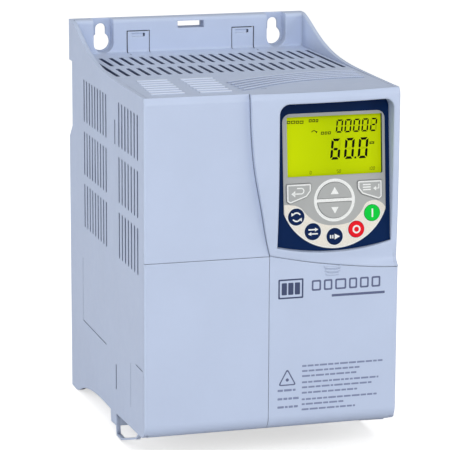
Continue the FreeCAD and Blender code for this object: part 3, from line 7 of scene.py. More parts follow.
import bpy
from mathutils import Quaternion, Vector
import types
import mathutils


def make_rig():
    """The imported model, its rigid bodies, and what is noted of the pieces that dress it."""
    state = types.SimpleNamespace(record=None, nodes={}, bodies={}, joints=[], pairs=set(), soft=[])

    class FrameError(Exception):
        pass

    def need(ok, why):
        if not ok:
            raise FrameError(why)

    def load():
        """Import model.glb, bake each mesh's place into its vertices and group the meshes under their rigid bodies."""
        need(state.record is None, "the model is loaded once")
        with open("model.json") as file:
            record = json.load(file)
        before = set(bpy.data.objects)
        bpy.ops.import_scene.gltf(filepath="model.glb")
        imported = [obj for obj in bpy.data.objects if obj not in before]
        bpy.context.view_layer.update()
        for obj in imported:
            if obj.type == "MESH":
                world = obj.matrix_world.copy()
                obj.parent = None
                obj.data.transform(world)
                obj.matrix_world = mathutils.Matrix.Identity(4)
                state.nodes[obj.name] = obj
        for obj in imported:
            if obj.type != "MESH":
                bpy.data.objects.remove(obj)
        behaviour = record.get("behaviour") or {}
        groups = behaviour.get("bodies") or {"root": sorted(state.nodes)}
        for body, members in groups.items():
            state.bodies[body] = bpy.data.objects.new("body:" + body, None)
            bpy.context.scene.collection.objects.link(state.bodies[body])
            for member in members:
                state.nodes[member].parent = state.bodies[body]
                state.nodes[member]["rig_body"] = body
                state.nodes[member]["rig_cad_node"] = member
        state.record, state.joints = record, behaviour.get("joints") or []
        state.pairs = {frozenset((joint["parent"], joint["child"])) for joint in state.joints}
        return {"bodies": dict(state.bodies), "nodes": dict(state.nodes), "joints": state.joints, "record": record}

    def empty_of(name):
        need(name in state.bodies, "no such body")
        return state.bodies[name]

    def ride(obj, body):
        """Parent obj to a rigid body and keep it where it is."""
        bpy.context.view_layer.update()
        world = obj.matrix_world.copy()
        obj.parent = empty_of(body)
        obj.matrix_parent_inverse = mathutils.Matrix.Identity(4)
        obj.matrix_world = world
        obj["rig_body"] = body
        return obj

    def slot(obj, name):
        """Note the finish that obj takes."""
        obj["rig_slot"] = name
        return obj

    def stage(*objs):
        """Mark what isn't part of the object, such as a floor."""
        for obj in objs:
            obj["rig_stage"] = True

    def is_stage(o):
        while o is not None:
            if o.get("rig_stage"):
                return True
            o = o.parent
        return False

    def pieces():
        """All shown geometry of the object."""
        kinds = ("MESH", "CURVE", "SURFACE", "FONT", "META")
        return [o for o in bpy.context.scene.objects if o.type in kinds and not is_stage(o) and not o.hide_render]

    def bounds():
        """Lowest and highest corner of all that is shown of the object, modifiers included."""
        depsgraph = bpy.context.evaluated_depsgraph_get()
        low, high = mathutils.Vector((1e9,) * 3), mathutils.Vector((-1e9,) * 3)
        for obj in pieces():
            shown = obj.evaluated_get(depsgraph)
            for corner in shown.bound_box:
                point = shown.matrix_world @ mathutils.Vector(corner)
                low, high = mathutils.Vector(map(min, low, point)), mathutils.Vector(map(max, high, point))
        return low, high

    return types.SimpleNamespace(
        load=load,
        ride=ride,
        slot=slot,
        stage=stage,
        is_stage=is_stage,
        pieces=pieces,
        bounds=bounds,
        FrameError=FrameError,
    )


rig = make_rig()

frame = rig.load()
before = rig.bounds()

MM = 0.001   # shapes are drawn in millimetres; the stage at the end is in metres
SLOT_OF_NODE = {row["node"]: row["material_slot"] for row in frame["record"]["subparts"]}

# ------------------------------------------------------------------------------------------------
# Shader builder
# ------------------------------------------------------------------------------------------------


class Shader:
    """A Principled material built node by node on object coordinates in millimetres."""

    def __init__(self, name):
        self.material = bpy.data.materials.new(name)
        self.material.use_nodes = True
        self.tree = self.material.node_tree
        self.tree.nodes.clear()
        output = self.node("ShaderNodeOutputMaterial")
        self.principled = self.node("ShaderNodeBsdfPrincipled")
        self.tree.links.new(self.principled.outputs[0], output.inputs[0])
        coordinates = self.node("ShaderNodeTexCoord").outputs["Object"]
        self.place = self.scaled(coordinates, (1000, 1000, 1000))

    def feed(self, node, inputs):
        """Link the sockets and set the plain values among the inputs of a node."""
        for key, value in inputs.items():
            if isinstance(value, bpy.types.NodeSocket):
                self.tree.links.new(value, node.inputs[key])
            else:
                node.inputs[key].default_value = value
        return node

    def node(self, kind, inputs=None, **settings):
        made = self.tree.nodes.new(kind)
        for key, value in settings.items():
            setattr(made, key, value)
        return self.feed(made, inputs or {})

    def surface(self, inputs):
        self.feed(self.principled, inputs)

    def scaled(self, vector, factors):
        return self.node("ShaderNodeMapping", {"Vector": vector, "Scale": factors}).outputs[0]

    def noise(self, scale, detail=2.0, rough=0.5, at=None):
        return self.node("ShaderNodeTexNoise", {
            "Scale": scale, "Detail": detail, "Roughness": rough, "Distortion": 0.0,
            "Vector": at or self.place}).outputs["Fac"]

    def voronoi(self, scale, out="Distance", randomness=1.0):
        return self.node("ShaderNodeTexVoronoi", {
            "Scale": scale, "Randomness": randomness, "Vector": self.place},
            feature="F1").outputs[out]

    def wave(self, scale, direction):
        return self.node("ShaderNodeTexWave", {
            "Scale": scale, "Distortion": 0.0, "Detail": 2.0, "Detail Scale": 1.0,
            "Vector": self.place},
            wave_type="BANDS", bands_direction=direction, wave_profile="SIN").outputs["Fac"]

    def ramp(self, value, start, end, low=0.0, high=1.0):
        """Clamped map: start gives low, end gives high."""
        return self.node("ShaderNodeMapRange", {
            "From Min": start, "From Max": end, "To Min": low, "To Max": high,
            "Value": value}, clamp=True).outputs["Result"]

    def spread(self, noise, low=0.0, high=1.0):
        """The middle of a noise stretched over low to high."""
        return self.ramp(noise, 0.3, 0.7, low, high)

    def within(self, value, rise, fall):
        """1 between two soft borders: up over the rise pair, down over the fall pair."""
        return self.times(self.ramp(value, *rise), self.ramp(value, *fall))

    def calc(self, operation, *values):
        return self.node("ShaderNodeMath", dict(enumerate(values)), operation=operation).outputs[0]

    def times(self, first, *others):
        for other in others:
            first = self.calc("MULTIPLY", first, other)
        return first

    def plus(self, first, second):
        return self.calc("ADD", first, second)

    def larger(self, first, second):
        return self.calc("MAXIMUM", first, second)

    def mix(self, mask, under, over, share=None):
        """Lay one colour over another by a mask, which share can weaken."""
        if share is not None:
            mask = self.times(mask, share)
        under, over = ((*c, 1) if isinstance(c, tuple) else c for c in (under, over))
        return self.node("ShaderNodeMix", {0: mask, 6: under, 7: over},
                         data_type="RGBA", blend_type="MIX").outputs[2]

    def split(self, vector):
        return self.node("ShaderNodeSeparateXYZ", {0: vector}).outputs

    def face_normal(self):
        return self.node("ShaderNodeNewGeometry").outputs["Normal"]

    def openness(self, distance_mm):
        return self.node("ShaderNodeAmbientOcclusion", {"Distance": distance_mm * MM},
                         samples=5).outputs["AO"]

    def edge(self, radius_mm, samples=6):
        """(rounded normal, mask that is 1 on convex and concave edges)"""
        rounded = self.node("ShaderNodeBevel", {"Radius": radius_mm * MM},
                            samples=samples).outputs[0]
        dot = self.node("ShaderNodeVectorMath", {0: rounded, 1: self.face_normal()},
                        operation="DOT_PRODUCT").outputs["Value"]
        return rounded, self.ramp(dot, start=0.995, end=0.80)

    def hollow(self):
        """mask for painted shade: 0 in the open, 1 in gaps; the walls of the vent slots count as deep below their rims
        """
        gap = self.ramp(self.openness(2.6), start=0.50, end=0.12)
        x, y, z = self.split(self.place)
        side = self.within(self.calc("ABSOLUTE", x), rise=(65.25, 65.40), fall=(67.44, 67.20))
        deck = self.times(self.within(z, rise=(82.3, 82.6), fall=(84.66, 84.40)),
                          self.ramp(y, start=-100.0, end=-99.0))
        slot = self.times(self.larger(side, deck),
                          self.ramp(self.openness(9.0), start=0.90, end=0.68))
        return self.larger(gap, slot)

    def ribbed(self):
        """masks for painted light on the front deck: (painted shade at the roots of the raised arcs, painted highlight
        on the crests of the two rib blocks)
        """
        x, y, z = self.split(self.place)
        field = self.within(y, rise=(-157.5, -156.5), fall=(-104.0, -105.0))
        left = self.within(x, rise=(-14.2, -14.8), fall=(-62.0, -61.0))
        right = self.ramp(x, start=-14.8, end=-14.2)
        # the painted highlight on the ribs on the right is weaker than on those on the left
        raised = self.plus(self.times(left, self.ramp(z, start=84.85, end=85.00)),
                           self.times(right, 0.6, self.ramp(z, start=85.10, end=85.25)))
        crest = self.times(field, raised)
        low = self.within(z, rise=(84.2, 84.5), fall=(85.20, 84.95))
        flat = self.within(z, rise=(84.2, 84.5), fall=(84.95, 84.80))
        foot = self.plus(self.times(low, right), self.times(flat, self.times(left, 0.35)))
        root = self.times(field, foot)
        return self.times(root, self.ramp(self.openness(3.0), start=0.92, end=0.72)), crest

    def bump(self, height, strength, distance_mm, normal=None):
        inputs = {"Strength": strength, "Distance": distance_mm * MM, "Height": height}
        if normal is not None:
            inputs["Normal"] = normal
        return self.node("ShaderNodeBump", inputs).outputs[0]


def srgb(red, green, blue):
    """8-bit display colour to linear light"""
    def linear(value):
        value /= 255.0
        return value / 12.92 if value <= 0.04045 else ((value + 0.055) / 1.055) ** 2.4
    return linear(red), linear(green), linear(blue)


def shade(colour, factor):
    return tuple(max(0.0, min(1.0, value * factor)) for value in colour)


# ------------------------------------------------------------------------------------------------
# Material recipes
# ------------------------------------------------------------------------------------------------


def plastic(name, colour, rough, grain, grain_bump, drift, edge_mm, painted_edge_highlight,
            coat=0.0, shadow=None, spec=0.5):
    """Moulded plastic: fine grain, slow colour drift, painted highlights on edges, painted shade in slots and gaps and
    painted light on the deck ribs if asked.
    """
    mat = Shader(name)
    cloud = mat.noise(scale=0.035, detail=3.0, rough=0.55)
    fine = mat.noise(scale=grain, detail=3.0, rough=0.6)
    grit = mat.plus(mat.times(fine, 0.7), mat.times(mat.voronoi(scale=grain * 1.35), 0.5))
    base = mat.mix(mat.ramp(cloud, start=0.32, end=0.68),
                   shade(colour, 1 - drift), shade(colour, 1 + drift))
    base = mat.mix(mat.ramp(fine, start=0.35, end=0.65), base, shade(colour, 0.82), share=0.06)
    normal, edges = mat.edge(edge_mm)
    # painted highlight: a lighter colour along convex and concave edges
    base = mat.mix(edges, base, shade(colour, 1.35), share=painted_edge_highlight)
    if shadow is not None:
        root, crest = mat.ribbed()
        crest_highlight_tone = tuple(0.5 * (value + max(colour)) for value in colour)
        # painted highlight on the rib crests
        base = mat.mix(crest, base, shade(crest_highlight_tone, 1.22), share=0.50)
        # painted shade at the rib roots, in the shadow colour
        base = mat.mix(root, base, shade(shadow, 1.6), share=0.42)
        # painted shade in gaps and in the vent slots
        base = mat.mix(mat.hollow(), base, shadow, share=0.92)
    patches = mat.spread(mat.noise(scale=0.22, detail=3.0), low=rough - 0.05, high=rough + 0.05)
    mat.surface({
        "Base Color": base,
        "Roughness": mat.plus(patches, mat.times(fine, 0.04)),
        "Normal": mat.bump(grit, strength=grain_bump, distance_mm=0.05, normal=normal),
        "Coat Weight": coat,
        "Coat Roughness": 0.22,
        "Specular IOR Level": spec})
    return mat.material


def ink(name, colour, rough, spec):
    """Screen-printed ink: slight mottling and a fine surface bump."""
    mat = Shader(name)
    mottle = mat.ramp(mat.noise(scale=1.6, detail=4.0, rough=0.6), start=0.35, end=0.7)
    mat.surface({
        "Base Color": mat.mix(mottle, shade(colour, 0.93), shade(colour, 1.07)),
        "Roughness": mat.spread(mat.noise(scale=4.0), low=rough - 0.06, high=rough + 0.06),
        "Normal": mat.bump(mat.noise(scale=7.0), strength=0.12, distance_mm=0.02),
        "Specular IOR Level": spec})
    return mat.material


def metal(name, colour, rough, streak, streak_bump, edge_mm):
    """Machined or drawn metal: directional streaks, blotchy tone, painted highlights on edges."""
    mat = Shader(name)
    lines = mat.noise(scale=1.0, detail=4.0, rough=0.65, at=mat.scaled(mat.place, streak))
    cloud = mat.spread(mat.noise(scale=0.12, detail=3.0))
    base = mat.mix(cloud, shade(colour, 1 - 0.08), shade(colour, 1 + 0.08))
    base = mat.mix(mat.ramp(lines, start=0.4, end=0.7), base, shade(colour, 0.72), share=0.22)
    normal, edges = mat.edge(edge_mm, samples=4)
    # the base colour is lighter on every edge, convex and concave: a painted highlight
    mat.surface({
        "Base Color": mat.mix(edges, base, shade(colour, 1.3), share=0.5),
        "Metallic": 1.0,
        "Roughness": mat.ramp(lines, start=0.3, end=0.75, low=rough - 0.08, high=rough + 0.12),
        "Normal": mat.bump(lines, strength=streak_bump, distance_mm=0.04, normal=normal)})
    return mat.material


def board():
    """Solder-masked laminate: raised tracks, via dots, glass weave, bare cut edges."""
    mask_green = (0.012, 0.105, 0.045)
    via_metal = (0.55, 0.50, 0.38)
    bare_edge = (0.33, 0.30, 0.14)
    mat = Shader("solder_mask_green")
    rows = mat.wave(scale=0.30, direction="Z")
    columns = mat.wave(scale=0.30, direction="X")
    # cells of the board carry either rows or columns of tracks
    region = mat.times(mat.voronoi(scale=0.055, out="Color"), 1.0)
    pick = mat.ramp(region, start=0.45, end=0.55)
    rows = mat.ramp(rows, start=0.72, end=0.78)
    columns = mat.ramp(columns, start=0.72, end=0.78)
    in_rows = mat.mix(pick, (0, 0, 0), (1, 1, 1))
    track = mat.plus(mat.times(rows, in_rows),
                     mat.times(columns, mat.calc("SUBTRACT", 1.0, in_rows)))
    track = mat.times(track, mat.ramp(mat.noise(scale=0.09), start=0.44, end=0.50))
    vias = mat.ramp(mat.voronoi(scale=0.23, randomness=0.85), start=0.10, end=0.075)
    weave = mat.times(mat.wave(scale=2.2, direction="X"), mat.wave(scale=2.2, direction="Z"))
    base = mat.mix(track, mask_green, shade(mask_green, 1.9), share=0.75)
    base = mat.mix(weave, base, shade(mask_green, 0.6), share=0.10)
    base = mat.mix(vias, base, via_metal)
    facing = mat.calc("ABSOLUTE", mat.split(mat.face_normal())[1])
    height = mat.plus(mat.times(track, 0.8), mat.times(weave, 0.12))
    mat.surface({
        "Base Color": mat.mix(mat.ramp(facing, start=0.75, end=0.6), base, bare_edge),
        "Metallic": mat.times(vias, 0.8),
        "Roughness": mat.spread(mat.noise(scale=0.6, detail=3.0), low=0.26, high=0.38),
        "Normal": mat.bump(height, strength=0.5, distance_mm=0.05)})
    return mat.material


def display_green():
    """Yellow-green backlit display: uneven glow and a faint cell grid."""
    window_centre_x = 34.0
    mat = Shader("display_green")
    x = mat.split(mat.place)[0]
    side = mat.calc("ABSOLUTE", mat.calc("SUBTRACT", x, window_centre_x))
    glow = mat.ramp(side, start=2.0, end=27.0)
    cloud = mat.noise(scale=0.05)
    base = mat.mix(glow, srgb(166, 186, 0), srgb(190, 207, 2), share=0.85)
    base = mat.mix(mat.spread(cloud), base, srgb(190, 205, 0), share=0.18)
    grid = mat.larger(*(mat.ramp(mat.wave(scale=1.6, direction=axis), start=0.90, end=0.99)
                        for axis in "XZ"))
    base = mat.mix(grid, base, srgb(150, 170, 0), share=0.05)
    mat.surface({
        "Base Color": base,
        "Emission Color": base,
        "Emission Strength": 0.26,
        "Roughness": mat.spread(mat.noise(scale=0.8, detail=3.0), low=0.16, high=0.26),
        "Normal": mat.bump(mat.noise(scale=0.06), strength=0.05, distance_mm=0.3),
        "Specular IOR Level": 0.08})
    return mat.material


# ------------------------------------------------------------------------------------------------
# Material tables
# ------------------------------------------------------------------------------------------------
BODY = srgb(189, 202, 227)
BODY_EXTRAS = {"coat": 0.12, "shadow": srgb(50, 63, 104), "spec": 0.4}

# key, material name, colour, roughness, grain scale, grain bump, colour drift,
# edge radius in mm, painted edge highlight, further arguments of plastic()
PLASTICS = [
    ("body", "body_blue_grey", BODY, 0.44, 1.7, 0.09, 0.018, 0.8, 0.42, BODY_EXTRAS),
    ("body_soft", "body_soft_edges", BODY, 0.44, 1.7, 0.09, 0.018, 1.5, 0.36, BODY_EXTRAS),
    ("inner", "inner_dark_plastic", (0.055, 0.060, 0.070), 0.5, 1.6, 0.14, 0.08, 0.25, 0.35, {}),
    ("fan", "fan_black_plastic", (0.018, 0.018, 0.020), 0.38, 2.4, 0.12, 0.08, 0.2, 0.5, {}),
    ("latch", "latch_grey_plastic", (0.075, 0.085, 0.10), 0.45, 1.8, 0.12, 0.06, 0.25, 0.4, {}),
    ("navy", "keypad_navy", srgb(0, 33, 78), 0.34, 2.2, 0.05, 0.05, 0.22, 0.55, {"spec": 0.12}),
    ("film", "overlay_grey", srgb(170, 172, 171), 0.48, 2.8, 0.06, 0.03, 0.12, 0.30,
     {"spec": 0.25}),
    ("key_grey", "key_face_grey", srgb(172, 174, 173), 0.50, 2.8, 0.06, 0.03, 0.14, 0.35,
     {"spec": 0.2}),
    ("key_navy", "key_face_navy", srgb(4, 32, 78), 0.38, 2.8, 0.06, 0.05, 0.18, 0.9,
     {"spec": 0.12}),
    ("key_red", "key_face_red", srgb(226, 18, 36), 0.38, 2.8, 0.06, 0.05, 0.18, 0.5,
     {"spec": 0.15}),
    ("key_green", "key_face_green", srgb(0, 200, 60), 0.38, 2.8, 0.06, 0.05, 0.18, 0.5,
     {"spec": 0.15}),
    ("guide", "light_guide_clear", (0.80, 0.86, 0.50), 0.16, 1.0, 0.03, 0.03, 0.2, 0.3,
     {"coat": 0.4}),
    ("parts", "moulded_black", (0.020, 0.020, 0.022), 0.42, 2.6, 0.16, 0.10, 0.15, 0.6, {}),
    ("relay", "relay_blue", (0.03, 0.09, 0.30), 0.28, 1.4, 0.05, 0.06, 0.3, 0.5, {"coat": 0.25}),
    ("ferrite", "ferrite_coat", (0.10, 0.16, 0.12), 0.45, 1.4, 0.14, 0.10, 0.2, 0.3, {}),
    ("sleeve", "capacitor_sleeve", (0.012, 0.018, 0.045), 0.24, 1.2, 0.04, 0.08, 0.3, 0.7,
     {"coat": 0.3}),
    ("terminal", "terminal_grey_green", (0.055, 0.085, 0.075), 0.46, 1.8, 0.12, 0.07, 0.2, 0.45,
     {}),
    ("header", "header_black", (0.015, 0.015, 0.016), 0.40, 2.4, 0.12, 0.08, 0.15, 0.6, {}),
    ("rubber", "lead_insulation", (0.014, 0.014, 0.015), 0.55, 2.8, 0.12, 0.10, 0.1, 0.3, {}),
]
# key, material name, colour, roughness, streak scale along x, y, z, streak bump, edge radius in mm
METALS = [
    ("alu", "extruded_aluminium", (0.78, 0.79, 0.80), 0.34, (2.6, 2.6, 0.12), 0.20, 0.12),
    ("brass", "turned_brass", (0.80, 0.62, 0.30), 0.28, (0.5, 9.0, 0.5), 0.14, 0.12),
    ("steel", "zinc_plated_steel", (0.66, 0.66, 0.67), 0.30, (3.0, 0.6, 3.0), 0.12, 0.12),
    ("tin", "tinned_solder", (0.74, 0.74, 0.72), 0.34, (2.0, 2.0, 2.0), 0.18, 0.05),
    ("copper", "enamelled_copper", (0.62, 0.24, 0.09), 0.30, (1.2, 8.0, 1.2), 0.10, 0.05),
]
# key, material name, 8-bit colour, roughness, specular level
INKS = [
    ("ink_white", "ink_white", (236, 238, 236), 0.50, 0.25),
    ("ink_cream", "ink_cream", (232, 226, 214), 0.52, 0.25),
    ("ink_slate", "ink_slate", (96, 104, 136), 0.55, 0.25),
    ("ink_pale", "ink_pale", (128, 138, 170), 0.55, 0.25),
    ("ink_navy", "ink_navy", (66, 76, 108), 0.50, 0.25),
    ("segment", "display_segment", (12, 16, 8), 0.4, 0.05),
    ("segment_soft", "display_segment_soft", (52, 60, 8), 0.4, 0.05),
    ("ghost", "display_segment_off", (180, 198, 1), 0.40, 0.05),
    ("tape", "winding_tape", (214, 176, 40), 0.42, 0.25),
    ("ceramic", "ceramic_tan", (176, 140, 92), 0.5, 0.25),
    ("chip_dark", "chip_epoxy", (30, 30, 32), 0.5, 0.25),
    ("red_wire", "wire_red", (168, 24, 20), 0.42, 0.25),
    ("blue_wire", "wire_blue", (26, 60, 140), 0.42, 0.25),
    ("grey_wire", "wire_grey", (150, 152, 156), 0.45, 0.25),
]
KEY_OF_SLOT = {
    "housing_plastic": "body", "inner_plastic": "inner", "fan_plastic": "fan",
    "latch_plastic": "latch", "bezel_navy": "navy", "overlay_film": "film",
    "key_grey": "key_grey", "key_navy": "key_navy", "key_red": "key_red",
    "key_green": "key_green", "display_glass": "display", "light_guide": "guide",
    "circuit_board": "pcb", "board_parts": "parts", "relay_case": "relay",
    "choke_core": "ferrite", "capacitor_sleeve": "sleeve", "terminal_plastic": "terminal",
    "header_plastic": "header", "heatsink_metal": "alu", "brass_metal": "brass",
    "screw_steel": "steel", "lead_insulation": "rubber",
}


def build_materials():
    made = {}
    for key, name, *values, extras in PLASTICS:
        made[key] = plastic(name, *values, **extras)
    made["pcb"] = board()
    made["display"] = display_green()
    for key, *values in METALS:
        made[key] = metal(*values)
    for key, name, colour, rough, spec in INKS:
        made[key] = ink(name, srgb(*colour), rough, spec)
    return made


MATERIALS = build_materials()


def dress_cad_pieces():
    for node, slot in SLOT_OF_NODE.items():
        piece = frame["nodes"][node]
        key = "body_soft" if node == "keypad_fascia" else KEY_OF_SLOT[slot]
        piece.data.materials.clear()
        piece.data.materials.append(MATERIALS[key])
        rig.slot(piece, slot)


# ------------------------------------------------------------------------------------------------
# Geometry builder
# ------------------------------------------------------------------------------------------------
KEYPAD_TILT = math.radians(5.0)
SIN_TILT, COS_TILT = math.sin(KEYPAD_TILT), math.cos(KEYPAD_TILT)
KEYPAD_Y, KEYPAD_Z = -161.2, 3.0   # origin of the keypad's own coordinates
FRONT_Y = -165.0                   # flat front of the covers


def on_keypad(point):
    """keypad coordinates (across, up, out) to the drive's frame"""
    across, up, out = point
    return Vector((across, KEYPAD_Y + SIN_TILT * up - COS_TILT * out,
                   KEYPAD_Z + COS_TILT * up + SIN_TILT * out))


def on_front(point):
    """(x, z, height above the flat front) to the drive's frame"""
    return Vector((point[0], FRONT_Y - point[2], point[1]))


class Piece:
    """Collects faces with materials, then becomes one mesh that rides on a body."""

    def __init__(self, place=Vector):
        self.verts, self.faces, self.face_slots, self.keys = [], [], [], []
        self.place = place

    def add(self, verts, faces, key):
        if key not in self.keys:
            self.keys.append(key)
        base = len(self.verts)
        self.verts += [self.place(point) for point in verts]
        self.faces += [tuple(i + base for i in face) for face in faces]
        self.face_slots += [self.keys.index(key)] * len(faces)

    def box(self, x0, x1, y0, y1, z0, z1, key, chamfer=0.0):
        xs, ys, zs = sorted((x0, x1)), sorted((y0, y1)), sorted((z0, z1))
        cut = min(chamfer, *((high - low) / 3 for low, high in (xs, ys, zs)))
        if cut <= 0:
            faces = [(0, 1, 3, 2), (4, 6, 7, 5), (0, 4, 5, 1),
                     (2, 3, 7, 6), (0, 2, 6, 4), (1, 5, 7, 3)]
            self.add([(x, y, z) for x in xs for y in ys for z in zs], faces, key)
            return
        # each corner gives three points, one on each of its faces along x, y and z
        verts = []
        for x, dx in zip(xs, (cut, -cut)):
            for y, dy in zip(ys, (cut, -cut)):
                for z, dz in zip(zs, (cut, -cut)):
                    verts += [(x, y + dy, z + dz), (x + dx, y, z + dz), (x + dx, y + dy, z)]

        def at(i, j, k, axis):
            return 3 * (4 * i + 2 * j + k) + axis

        def wound(face, forward):
            return face if forward else face[::-1]

        ring = [(0, 0), (1, 0), (1, 1), (0, 1)]
        faces = []
        for i in (0, 1):
            faces.append([at(i, a, b, 0) for a, b in wound(ring, i)])
            faces.append([at(a, i, b, 1) for a, b in wound(ring, not i)])
            faces.append([at(a, b, i, 2) for a, b in wound(ring, i)])
        for a, b in ((0, 0), (0, 1), (1, 0), (1, 1)):
            along_z = [at(a, b, 0, 0), at(a, b, 0, 1), at(a, b, 1, 1), at(a, b, 1, 0)]
            along_y = [at(a, 0, b, 0), at(a, 0, b, 2), at(a, 1, b, 2), at(a, 1, b, 0)]
            along_x = [at(0, a, b, 1), at(0, a, b, 2), at(1, a, b, 2), at(1, a, b, 1)]
            faces += [wound(along_z, a == b), wound(along_y, a != b), wound(along_x, a == b)]
        for i in (0, 1):
            for j in (0, 1):
                for k in (0, 1):
                    corner = [at(i, j, k, axis) for axis in (0, 2, 1)]
                    faces.append(wound(corner, (i + j + k) % 2 == 0))
        self.add(verts, faces, key)

    def cylinder(self, start, axis, radius, length, key, sides=24, bevel=0.0,
                 far_radius=None, hole=0.0):
        """a round part from start along axis; the far rim may be bevelled, and it may have a hole"""
        axis = Vector(axis).normalized()
        side = axis.orthogonal().normalized()
        up = axis.cross(side)
        start = Vector(start)
        far = radius if far_radius is None else far_radius
        profile = [(radius, 0.0), (far, length - bevel)]
        if bevel > 0:
            profile.append((far - bevel, length))
        if hole > 0:
            profile = [(hole, 0.0)] + profile + [(hole, length)]
        verts, faces = [], []
        for ring_radius, along in profile:
            for i in range(sides):
                angle = 2 * math.pi * i / sides
                spoke = side * math.cos(angle) + up * math.sin(angle)
                verts.append(start + axis * along + spoke * ring_radius)
        last = (len(profile) - 1) * sides
        for k in range(0, last, sides):
            for i in range(sides):
                j = (i + 1) % sides
                faces.append((k + i, k + j, k + sides + j, k + sides + i))
        if hole > 0:
            for i in range(sides):
                j = (i + 1) % sides
                faces.append((last + i, last + j, j, i))
        else:
            faces.append(tuple(range(sides - 1, -1, -1)))
            faces.append(tuple(last + i for i in range(sides)))
        self.add(verts, faces, key)

    def tube(self, path, radius, key, sides=10):
        """a round wire along a path of points"""
        points = [Vector(point) for point in path]
        last = len(points) - 1
        verts, faces = [], []
        side = None
        for i, point in enumerate(points):
            along = points[min(i + 1, last)] - points[max(i - 1, 0)]
            along.normalize()
            if side is None:
                side = along.orthogonal().normalized()
            else:
                side = (side - along * side.dot(along)).normalized()
            up = along.cross(side)
            for k in range(sides):
                angle = 2 * math.pi * k / sides
                verts.append(point + (side * math.cos(angle) + up * math.sin(angle)) * radius)
        for i in range(last):
            near, far = i * sides, (i + 1) * sides
            for k in range(sides):
                j = (k + 1) % sides
                faces.append((near + k, near + j, far + j, far + k))
        faces.append(tuple(range(sides - 1, -1, -1)))
        faces.append(tuple(last * sides + k for k in range(sides)))
        self.add(verts, faces, key)

    def fill(self, loops, heights, key):
        """flat print: outer loops with holes, from a low to a high height"""
        low, high = heights
        curve = bpy.data.curves.new("tmp", "CURVE")
        curve.dimensions, curve.fill_mode, curve.extrude = "2D", "BOTH", (high - low) / 2
        for loop in loops:
            spline = curve.splines.new("POLY")
            spline.points.add(len(loop) - 1)
            for point, (x, y) in zip(spline.points, loop):
                point.co = (x, y, 0, 1)
            spline.use_cyclic_u = True
        holder = bpy.data.objects.new("tmp", curve)
        bpy.context.scene.collection.objects.link(holder)
        graph = bpy.context.evaluated_depsgraph_get()
        mesh = bpy.data.meshes.new_from_object(holder.evaluated_get(graph), depsgraph=graph)
        middle = (low + high) / 2
        self.add([(vert.co.x, vert.co.y, vert.co.z + middle) for vert in mesh.vertices],
                 [tuple(face.vertices) for face in mesh.polygons], key)
        bpy.data.objects.remove(holder)
        bpy.data.curves.remove(curve)
        bpy.data.meshes.remove(mesh)

    def make(self, name, body, slot, smooth=True):
        mesh = bpy.data.meshes.new(name)
        mesh.from_pydata([tuple(point * MM) for point in self.verts], [], self.faces)
        for key in self.keys:
            mesh.materials.append(MATERIALS[key])
        mesh.polygons.foreach_set("material_index", self.face_slots)
        mesh.validate()
        mesh.update()
        made = bpy.data.objects.new(name, mesh)
        bpy.context.scene.collection.objects.link(made)
        if smooth:
            mesh.polygons.foreach_set("use_smooth", [True] * len(mesh.polygons))
            with bpy.context.temp_override(object=made, active_object=made,
                                           selected_objects=[made],
                                           selected_editable_objects=[made]):
                # the operator may refuse to run in this context; the piece then stays flat
                try:
                    bpy.ops.object.shade_smooth_by_angle(angle=math.radians(35))
                except RuntimeError:
                    mesh.polygons.foreach_set("use_smooth", [False] * len(mesh.polygons))
        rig.ride(made, body)
        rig.slot(made, slot)


# ------------------------------------------------------------------------------------------------
# Flat outlines
# ------------------------------------------------------------------------------------------------


def circle(x, y, radius, steps=48, start=0.0, end=360.0):
    """a full circle, or an open arc with both of its ends, in degrees"""
    count = steps if abs(end - start) >= 360 else steps + 1
    angles = [math.radians(start + (end - start) * i / steps) for i in range(count)]
    return [(x + radius * math.cos(a), y + radius * math.sin(a)) for a in angles]


def rounded_box(x0, y0, x1, y1, radius, steps=4):
    radius = min(radius, (x1 - x0) / 2 - 1e-3, (y1 - y0) / 2 - 1e-3)
    left, right, low, high = x0 + radius, x1 - radius, y0 + radius, y1 - radius
    outline = []
    for x, y, start in ((right, high, 0), (left, high, 90), (left, low, 180), (right, low, 270)):
        outline += circle(x, y, radius, steps, start, start + 90)
    return outline


def smooth_line(points, steps=8):
    """Catmull-Rom curve through open points"""
    line = []
    for i in range(len(points) - 1):
        p0, p1, p2 = points[max(i - 1, 0)], points[i], points[i + 1]
        p3 = points[min(i + 2, len(points) - 1)]
        for k in range(steps):
            t = k / steps
            line.append(tuple(
                0.5 * (2 * p1[j] + (p2[j] - p0[j]) * t
                       + (2 * p0[j] - 5 * p1[j] + 4 * p2[j] - p3[j]) * t * t
                       + (3 * p1[j] - p0[j] - 3 * p2[j] + p3[j]) * t ** 3) for j in (0, 1)))
    line.append(points[-1])
    return line


def band(path, width):
    """outline of a stroke of the given width along an open path"""
    left, right = [], []
    for i, (x, y) in enumerate(path):
        a, b = path[max(i - 1, 0)], path[min(i + 1, len(path) - 1)]
        dx, dy = b[0] - a[0], b[1] - a[1]
        length = math.hypot(dx, dy) or 1.0
        across, up = -dy / length * width / 2, dx / length * width / 2
        left.append((x + across, y + up))
        right.append((x - across, y - up))
    return left + right[::-1]


